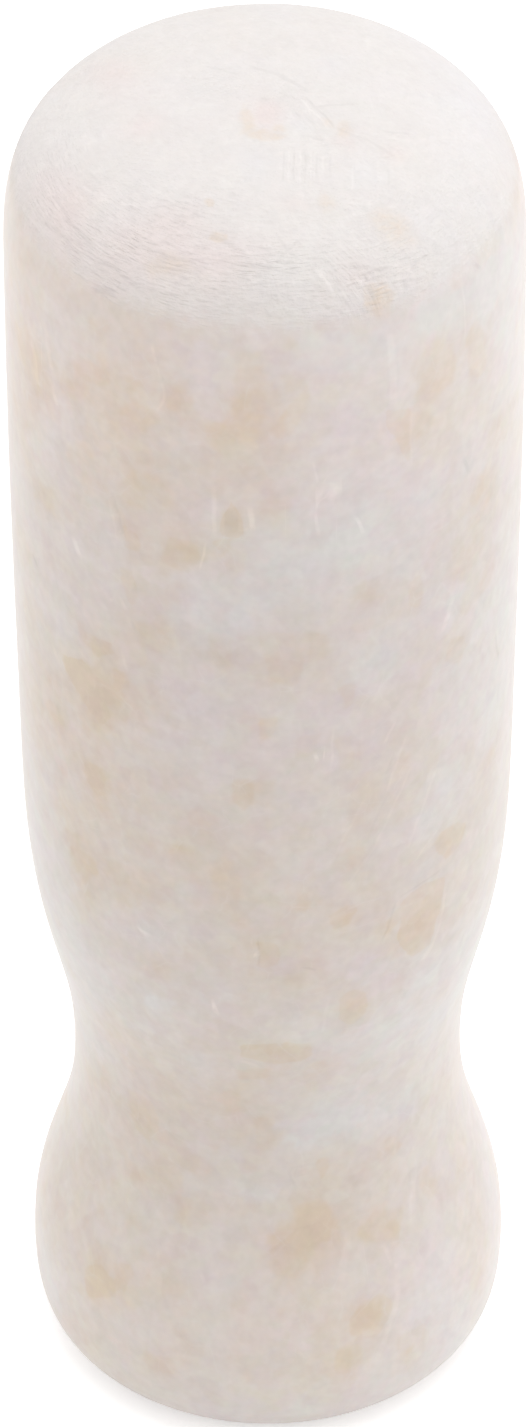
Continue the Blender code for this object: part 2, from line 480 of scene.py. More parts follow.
# Fragments with a clear outline: strength, softness of the edge, then the corners, each a turn and
# a height
shapedFragments = [
    (0.6, 0.25, (-14, 112.3), (-12.5, 109.8), (-9, 109), (-6, 110.2), (-5, 112.2), (-9, 112.6)),
    (0.65, 0.4, (-6, 119.5), (-0.5, 119.5), (0, 112), (-1.5, 110.5), (-5.5, 110.3), (-7.5, 114)),
    (0.75, 0.25, (0.5, 111.6), (4, 110.8), (7, 112), (9.5, 115), (8.5, 116), (4, 113.6)),
    (1, 0.12, (26.6, 111.9), (33, 111.1), (33.2, 105.6), (31.4, 106.6), (27.6, 110)),
    (0.55, 0.3, (33.5, 110.7), (36.5, 110.7), (40, 109), (38, 107.8), (34, 108)),
    (0.65, 0.3, (33, 115.5), (38, 117.2), (44, 116.5), (46.5, 113.5), (44, 111.5), (36, 111.8)),
    (0.7, 0.2, (49.5, 115.5), (53.5, 116.2), (56.5, 114), (57, 110.5), (54, 110), (50.5, 111.5)),
    (1, 0.08, (-7.5, 104.3), (-5, 102.8), (-5.2, 101), (-8, 100.6), (-10.5, 101.2), (-9, 103.5)),
    (1, 0.15, (-12, 100.4), (-7.5, 100.5), (-8, 99.3), (-9.5, 98.8)),
    (0.5, 0.25, (-9.5, 99.3), (-4.5, 99.3), (-4.8, 97), (-9, 96.8)),
    (0.65, 0.2, (-22, 99.8), (-15, 99.8), (-14.5, 97.8), (-17, 96.4), (-24, 97)),
    (0.85, 0.12, (-33.5, 100), (-29, 98.6), (-28, 97.4), (-32.5, 97.2)),
    (0.75, 0.2, (54, 100.3), (57, 99.3), (57, 97.6), (53, 96.8), (51, 98.2)),
    (0.5, 0.4, (-63, 98), (-54, 98.8), (-53, 96.4), (-58, 95.6), (-64, 96)),
    (0.75, 0.15, (-34, 94.8), (-31, 95.3), (-29.5, 93), (-30, 91.3), (-32.5, 91.8)),
    (0.6, 0.25, (-30.5, 89.8), (-25, 90.2), (-20.5, 88.8), (-23, 87), (-29, 87.4)),
    (0.65, 0.25, (-12.5, 90.6), (-8, 90.6), (-7.5, 87), (-9.5, 86.4), (-12.8, 87.4)),
    (0.55, 0.2, (-2, 90.8), (6, 90.8), (8.5, 88), (7.5, 85.2), (1, 85.6), (-0.5, 88)),
    (0.55, 0.25, (9, 90.8), (14.5, 90.5), (14.5, 88), (10, 87.6)),
    (0.85, 0.15, (33, 93.2), (36.5, 93.5), (37.5, 91), (35.5, 90), (33.5, 90.8)),
    (0.5, 0.3, (19.5, 95.3), (22, 95), (27, 92.6), (26, 91.8), (21, 93.4)),
    (1.2, 0.12, (-53.5, 81.6), (-46, 82.8), (-40.5, 81), (-37.5, 78.5), (-41, 76.8), (-46.5, 78.6),
        (-51, 79.8)),
    (0.85, 0.15, (-44, 86.2), (-37, 86.4), (-36, 85.4), (-42, 84)),
    (0.6, 0.25, (-47.5, 86.8), (-44.5, 87), (-43, 84.5), (-47, 85)),
    (0.55, 0.2, (-37, 83.8), (-32, 84), (-32, 82.2), (-36.5, 81.8)),
    (0.85, 0.2, (45, 84.8), (51, 84.3), (51.5, 82.6), (48.5, 81.4), (44.5, 82.6)),
    (0.5, 0.3, (36, 84), (40, 84), (40, 81), (36.5, 80.8)),
    (1, 0.2, (15.8, 84.8), (20, 84.6), (20.2, 82.6), (17.2, 82)),
    (1, 0.2, (-2.2, 81.8), (2, 82), (2.6, 80), (-0.8, 79.5)),
    (0.8, 0.25, (5.4, 79.9), (11.6, 79.9), (11.4, 77.7), (6.6, 77.5)),
    (0.85, 0.2, (16, 79.2), (19.4, 79.2), (19.8, 75.2), (16.2, 75.4)),
    (1, 0.2, (-8.6, 75.1), (-3.2, 75.3), (-2, 73.2), (-5, 71.8), (-8, 72.8)),
    (0.8, 0.25, (-46, 71.8), (-41, 72.2), (-39.5, 69.6), (-43, 69), (-46, 70)),
    (0.55, 0.25, (40.5, 75.5), (42.6, 75.3), (43, 71.5), (40, 71.2), (39.5, 73.5)),
    (0.6, 0.25, (52.5, 72.5), (56, 71.8), (56.5, 69.8), (53, 69.6)),
    (0.5, 0.3, (-25, 67), (-17, 67.2), (-17.5, 66), (-24.5, 66)),
    (0.5, 0.3, (-11.5, 66.8), (-8, 66.2), (-5.5, 64), (-7, 60.6), (-12, 61.5), (-13, 64.5)),
    (0.4, 0.2, (-41, 62.4), (-29, 63.6), (-24, 62.6), (-26, 60.4), (-38, 60)),
    (0.75, 0.25, (-53, 61), (-44.5, 62), (-42.5, 60.5), (-46, 59), (-51, 57), (-54, 58)),
    (0.75, 0.25, (6.5, 63), (9.5, 62.8), (10, 60.8), (7, 60.6)),
    (0.8, 0.15, (14.5, 60), (20.5, 60.6), (22, 59.8), (19.5, 58.2), (15.5, 58.2)),
    (0.45, 0.3, (18, 66.8), (23, 66.4), (24, 65.2), (19, 64.6)),
    (1, 0.18, (41, 64.2), (50, 64.3), (54, 63.1), (51, 61.3), (46.3, 61), (43.6, 62.4)),
    (1.1, 0.08, (32.6, 59), (36, 59.6), (44.2, 59.6), (47.2, 58.6), (45.6, 56.4), (45, 54), (42.5, 52),
        (37, 51.8), (33, 53.8)),
    (0.75, 0.15, (28.4, 56), (28.6, 57.4), (32.2, 58.8), (33.2, 58), (32.6, 56.8)),
    (0.75, 0.12, (-2.4, 57.8), (2.6, 57), (3.6, 55.8), (2.5, 54.8), (-2.3, 54.6)),
    (1, 0.15, (18, 49.8), (21, 50.5), (24.3, 50.1), (25.5, 48), (23.8, 46.3), (20.8, 46.1), (18.2, 47.3)),
    (0.4, 0.35, (3.5, 54), (8, 54.2), (9, 52), (5, 51.6)),
    (0.45, 0.3, (-30, 54.5), (-26, 54.2), (-26, 52), (-28.5, 51.6)),
    (1.2, 0.12, (-7, 44.8), (3, 45), (3, 42.2), (-7, 43)),
    (1.05, 0.12, (3, 44.9), (11.5, 44.6), (12, 42.8), (3, 42)),
    (0.65, 0.15, (-8.5, 41.4), (0.5, 41.6), (0.5, 40), (-8, 39.8)),
    (0.6, 0.25, (10, 42), (16.5, 41.8), (17.5, 38.2), (13, 37.6), (10, 38.6)),
    (0.5, 0.25, (-13, 38.4), (-8, 38), (-8, 35), (-12.5, 35)),
    (0.5, 0.25, (-23, 45), (-14, 44.4), (-15, 42.8), (-22, 42.8)),
    (0.5, 0.2, (-4, 35), (1.5, 34.6), (2.5, 31), (-3.5, 31)),
    (0.7, 0.3, (-45, 33.8), (-36, 34), (-34, 30.8), (-37, 28.8), (-43, 29.6), (-46, 32)),
    (0.5, 0.35, (-57, 34.2), (-52.5, 33.8), (-53, 32), (-60, 30.6)),
    (0.6, 0.3, (6, 23), (7, 24.5), (10, 25.2), (14.5, 25.2), (18, 24.5), (20.2, 23.2), (21.5, 21.5),
        (20, 20.2), (10, 21)),
    (0.6, 0.3, (0.2, 21.5), (1.8, 22.6), (6, 23), (10.5, 22.2), (11, 18.8), (9, 18.2), (2.5, 18.5),
        (0.5, 19.2)),
    (0.3, 0.45, (10.5, 22), (21.3, 21.2), (20, 20), (17, 18.5), (11.5, 18)),
    (0.7, 0.25, (24.2, 21.4), (31.5, 22.4), (40.4, 21.4), (39.8, 19.8), (35, 19.2), (27.5, 19.8)),
    (0.85, 0.15, (14.5, 29.6), (19, 29.4), (18.5, 28), (16, 26.8)),
    (0.75, 0.2, (37, 29.4), (42, 29), (44, 27.2), (40.5, 26.8), (37, 27.8)),
    (0.6, 0.25, (-28, 24.8), (-22.5, 24.6), (-23, 22.4), (-27, 22)),
    (0.55, 0.3, (-48, 26), (-38.5, 25.4), (-39, 23.8), (-46, 23.6)),
    (0.6, 0.25, (48.5, 23.4), (55, 23.8), (55.5, 20.8), (50, 20.6)),
    (0.35, 0.5, (63, 25), (74, 25), (75, 20), (64, 20)),
    (1, 0.2, (-53, 13.8), (-47, 15), (-42, 14.6), (-41.5, 12.8), (-46, 11.8), (-51, 11.2)),
    (0.75, 0.2, (-43.5, 15.8), (-38.5, 16.8), (-36.5, 16), (-38.5, 14), (-41.5, 14.2)),
    (0.9, 0.18, (24.5, 14.8), (29.5, 15.2), (32.5, 13.8), (31, 12), (26, 10.8), (20.5, 12), (20.5, 13.8)),
    (0.7, 0.22, (16.5, 11), (22, 11.5), (23.5, 9), (20, 7.6), (16, 8.4)),
    (0.6, 0.25, (33, 10.2), (41.5, 10), (41.5, 6.2), (36, 5.8), (33, 7.5)),
    (0.6, 0.25, (-32, 8.8), (-23.5, 9.2), (-23, 7.6), (-31, 6.8)),
    (0.35, 0.5, (59, 20), (66, 20), (72, 12), (68, 8), (60, 9)),
]

# Smaller and fainter ones: turn, height, width, tall, lean in degrees, strength, softness of the edge
tanFragments = [
    (-20, 114, 2.2, 2.4, 0, 0.5, 0.3), (-25.5, 111.5, 2, 1.6, 0, 0.3, 0.3),
    (-29.5, 113.5, 1.8, 3.2, 0, 0.6, 0.3), (-41, 113.6, 3.8, 2.2, 15, 0.65, 0.3),
    (-47, 110.7, 3.8, 1.8, 30, 0.5, 0.3), (-33, 110, 4.6, 3.6, 0, 0.3, 0.35),
    (-27.5, 107.7, 2.2, 3.2, 0, 0.3, 0.3), (-24.5, 104, 3.4, 4.2, 20, 0.4, 0.25),
    (1.5, 103.6, 3, 3, 0, 0.5, 0.3), (62, 102.5, 3.6, 3.4, -20, 0.5, 0.35),
    (-48, 102.5, 3.6, 3.6, 35, 0.4, 0.35), (-68, 111, 3.2, 3.4, 20, 0.5, 0.35),
    (-58.5, 109, 2.8, 5, 25, 0.55, 0.35), (22, 90.4, 2.2, 1.6, 0, 0.55, 0.3),
    (50.5, 87.6, 2.2, 2.6, 20, 0.55, 0.3), (59.5, 88.5, 2.4, 3.6, -10, 0.55, 0.3),
    (50, 93, 4.2, 5, 0, 0.4, 0.35), (22.5, 82.2, 1.6, 1.6, 0, 0.45, 0.3),
    (-19.5, 80.2, 1.8, 1.8, 0, 0.45, 0.3), (-56, 73.5, 2.8, 2.6, 20, 0.5, 0.3),
    (-68, 82, 3, 4.4, 20, 0.4, 0.35), (-15, 70.6, 2.8, 2, 0, 0.65, 0.3), (33, 73.5, 1.6, 5, 0, 0.45, 0.3),
    (24, 72.8, 2.4, 5, 5, 0.45, 0.3), (64.5, 79, 1.8, 3.8, 20, 0.45, 0.3),
    (62, 66.5, 3.4, 5.2, 0, 0.4, 0.35), (65, 14.5, 4.6, 8, 0, 0.45, 0.45),
    (-43, 41.5, 3, 4, 10, 0.4, 0.35), (52, 44.5, 2.2, 2.6, 20, 0.55, 0.3), (-66, 31, 3, 3, 20, 0.4, 0.35),
]

# Pale and dark fine lines: from one turn and height to another, width, and how pale or, below 0,
# how dark
# The palest short lines are white specks whose glint is painted in: painted highlights
fineLines = [
    (28.2, 119.5, 28.8, 112, 0.8, 0.35), (-25.2, 118.5, -23.4, 115.5, 0.3, 0.3),
    (-23.4, 115.5, -22, 114, 0.3, 0.3), (-22, 114, -24.1, 112.5, 0.3, 0.4),
    (-24, 117.2, -21.9, 114.4, 0.2, -0.4), (10.6, 108.2, 11.2, 106.4, 0.25, 0.4),
    (11.2, 105.4, 11, 103.4, 0.25, 0.5), (11, 102.8, 11.4, 101, 0.35, 0.5),
    (12.6, 106, 13.4, 104.6, 0.5, 0.6), (15, 106.1, 15.3, 104.4, 0.4, 0.7),
    (16.2, 106, 16.4, 104.8, 0.4, 0.6), (14, 105.9, 14.2, 104.9, 0.3, 0.5),
    (20, 101.9, 21.5, 100.2, 0.35, 0.7), (-3.6, 103.8, -2.8, 101.8, 0.5, 0.7),
    (-35.4, 102, -34, 100.2, 0.35, -0.4), (-34, 100.2, -33, 98.4, 0.35, -0.5),
    (-36.8, 101.5, -34.6, 98, 0.3, 0.25), (33.3, 110.6, 33.4, 105.8, 0.25, 0.2),
    (49.2, 103, 50.8, 101.3, 0.4, -0.5), (-53.8, 109.2, -52.6, 108, 0.5, 0.5),
    (-56.2, 114.8, -54.2, 111, 0.7, 0.35), (-62.3, 112.5, -59.8, 108, 0.7, 0.4),
    (-11.5, 105.2, -11.3, 100.8, 0.4, 0.45), (-13.2, 99.5, -14.4, 97.2, 0.25, 0.65),
    (-7.2, 103.2, -7.6, 101.4, 2.4, -0.45), (-10, 90, -10, 87.6, 3, -0.2),
    (49.2, 120, 49, 115.5, 0.25, 0.3), (-41.3, 121.5, -39, 121.3, 0.3, -0.6),
    (54.8, 121.2, 56.2, 120.5, 0.35, -0.5), (11, 77.6, 11.5, 76.9, 0.4, 1),
    (7.4, 81.2, 8, 79.8, 0.4, 0.3), (-34.2, 91.6, -32.6, 90.7, 0.4, 0.5),
    (-37.2, 90.7, -36, 91.3, 0.35, 0.4), (-47.6, 95.2, -46, 94, 0.6, 0.7),
    (-65, 89.2, -62.6, 88.7, 0.4, -0.6), (-31.4, 89.8, -30.4, 88.9, 0.4, -0.4),
    (46.5, 89.2, 43.5, 86.6, 0.6, 0.5), (-56.5, 81.6, -54.5, 80.4, 0.7, 0.5),
    (15.1, 80, 14.8, 76, 0.25, 0.3), (-34, 86, -33, 84.6, 0.3, 0.25), (30.2, 79, 27.7, 77.2, 0.3, 0.4),
    (64.5, 80.8, 66.5, 77.8, 0.4, -0.45), (-31.8, 56.6, -30.4, 55.9, 0.5, 1),
    (-30.6, 56.2, -28.8, 56.1, 0.4, 0.8), (-13.4, 50, -13.2, 49, 0.3, 1),
    (-13, 49.3, -12.2, 48.6, 0.35, 1), (-3.3, 57.6, -3.1, 56, 0.35, 1), (-2.1, 57.8, -2, 54.8, 0.2, -0.4),
    (46.6, 57.4, 45.8, 54.2, 0.35, 0.35), (45.4, 53.6, 43, 51.4, 0.4, 0.35),
    (28, 55.4, 31.6, 59.2, 0.3, -0.4), (42.6, 51.6, 40.4, 50.6, 0.6, 0.35),
    (33.2, 59.8, 44.4, 60.2, 0.3, -0.35), (33.6, 66.5, 35.4, 65.6, 0.5, -0.2),
    (8.6, 54.2, 11.5, 53.8, 0.3, -0.5), (15, 50, 13.7, 46, 0.3, 0.2),
    (-6.8, 42.4, -3.2, 41.9, 0.35, 0.35), (22.8, 21.6, 19.4, 17.2, 0.8, 0.3),
    (47.4, 24.2, 43.4, 20, 0.8, 0.3), (32.6, 19.2, 35.4, 16.6, 0.5, 0.3), (35.4, 16.6, 34, 14, 0.6, 0.3),
    (34, 14, 30.8, 11.6, 0.6, 0.35), (30.6, 11.4, 27.4, 8.4, 0.6, 0.25),
    (24.2, 26.9, 27.4, 25.7, 1, -0.3), (7.2, 28.9, 12.8, 29.1, 0.3, -0.2),
    (6.2, 28.4, 8.2, 26.6, 0.3, -0.25), (8.2, 26.3, 13.2, 26.4, 0.3, 0.2),
    (-31.2, 18.8, -30.6, 18.5, 0.4, 0.5), (-33, 11, -31, 10, 0.8, 0.2), (6.8, 11.3, 8.2, 10.7, 0.4, 0.4),
    (-18.5, 18.2, -17.5, 17.6, 0.4, 0.3), (34.7, 17.6, 35, 16.6, 0.25, -0.2),
    (25.8, 66.5, 34.2, 73, 0.3, 0.25), (27.8, 71, 32.8, 76.8, 0.3, 0.3), (34.8, 65, 42.5, 72, 0.35, 0.25),
    (15, 65.8, 22.8, 71.8, 0.3, 0.2), (19, 63, 27.2, 67, 0.3, 0.2), (35, 62.5, 44.8, 65.5, 0.3, 0.25),
    (28, 73.5, 30, 75.5, 0.3, -0.3), (24.5, 68, 28.5, 71.5, 0.3, -0.2),
]

# Fine lines on the ground crown: from one x and y in millimetres, seen from above, to another
crownLines = [
    (-1, 4.3, 1.2, 3.3, 0.4, -0.3), (1.2, 3.3, 3.6, 1, 0.45, -0.4), (3, 0, 5, -3.6, 0.25, 0.3),
    (3.4, 0.2, 5.5, -3.4, 0.3, -0.45), (5.4, -3.2, 7.6, -4.6, 0.35, -0.3),
    (7.8, -4.4, 10.4, -6.2, 0.35, -0.3), (4.4, -0.8, 7.2, -0.2, 0.3, -0.3),
    (9.6, -3.4, 11.6, -3.2, 0.3, -0.35), (9.8, -4.2, 11.6, -4, 0.25, 0.2),
    (-4.8, 4.8, -2.4, 3.6, 0.3, -0.25), (3.2, -4.6, 5, -5, 0.3, -0.3), (4.6, -5.6, 6.2, -5.4, 0.3, -0.25),
    (1.5, -6.6, 1.5, -9.8, 0.2, -0.3), (1.9, -6.4, 1.9, -10, 0.2, 0.22),
    (2.3, -6.6, 2.3, -9.6, 0.2, -0.3), (2.8, -6.4, 2.8, -9.6, 0.2, 0.22),
    (3.2, -6.6, 3.2, -9.8, 0.2, -0.3), (3.6, -6.5, 3.6, -9.4, 0.2, 0.25),
    (4.1, -6.8, 4.1, -9.2, 0.2, -0.25), (4.6, -6.9, 4.6, -9, 0.2, 0.2), (5.2, -6.8, 5.2, -8.8, 0.2, -0.2),
    (6.9, -7.6, 6.9, -10.4, 0.2, 0.2), (9, -7, 9, -10, 0.3, 0.15), (9.7, -7.4, 9.7, -9.4, 0.2, -0.2),
    (-7, -12.6, -5.4, -13.3, 0.3, -0.4), (-6.8, -13.6, -5.4, -12.6, 0.3, -0.3),
    (-4.9, -14.6, -2.6, -15.4, 0.3, -0.45), (-8.2, -15.7, -4.8, -16.6, 0.3, -0.4),
    (-10.6, -14, -7.8, -15.6, 0.3, -0.3), (-3, -17, 0.6, -17.3, 0.3, -0.3),
    (6.6, -16.6, 9.6, -16, 0.3, -0.4), (7, -17.4, 9.8, -17, 0.25, 0.3),
    (4, -17.2, 5.4, -18.4, 0.25, 0.35), (-17.1, -6.2, -15.3, -10.2, 0.3, -0.35),
    (-15.9, -9.6, -13.5, -12.8, 0.25, -0.45), (-17.5, -8.5, -14.8, -12.4, 0.25, -0.35),
    (-13.1, -14, -10, -16.8, 0.25, -0.35), (-8.2, -16.2, -5.2, -17.5, 0.25, -0.4),
    (-13.5, -15, -11.8, -16.2, 0.3, -0.6), (-3.4, -15.1, -2.5, -16, 0.2, -0.5),
    (-9.1, -11.6, -6.9, -11.7, 0.25, -0.35), (-14, -6.5, -12.8, -8.1, 0.3, -0.3),
    (-17.5, -5.3, -16.1, -8.8, 0.25, 0.25), (-11.3, -8.6, -8.9, -10.8, 0.25, -0.25),
    (-5.2, -14.4, -1.7, -16.1, 0.2, -0.35), (1, -15.2, 2.7, -16.8, 0.25, -0.3),
    (0.9, -16.9, 2.7, -15.2, 0.25, -0.3), (7.9, -17, 8.8, -18.1, 0.25, -0.5),
    (-13, -9.6, -10.2, -11.2, 0.3, 0.3), (-14.6, -7.6, -12.4, -9.4, 0.3, 0.3),
    (-12.4, -11.4, -9.6, -13.4, 0.3, 0.3),
]

# Spots on the ground crown: x and y seen from above, width, length, turn, strength, softness
crownSpots = [
    (-1.4, -2.9, 1.1, 3.8, 8, 0.75, 0.6), (0.1, -4.5, 3.6, 1.1, -12, 0.75, 0.6),
    (1.2, -3.6, 1.2, 1, 0, 0.6, 0.6), (6.3, -3.3, 1.3, 2.2, 0, 0.6, 0.7), (4.9, -3, 1, 1.2, 0, 0.4, 0.5),
    (4.9, -11.7, 1.4, 1.8, 0, 0.45, 0.7), (9.9, -13, 3.2, 2.2, 0, 0.7, 0.9),
    (8.9, -17.6, 2.2, 1, 20, 1, 0.6), (-4.3, -11.8, 0.9, 0.9, 0, 0.8, 0.4),
    (-3.8, -14.9, 1.6, 0.8, -15, 0.8, 0.4), (-7.4, -16.4, 3.4, 1.2, -15, 0.6, 0.9),
]

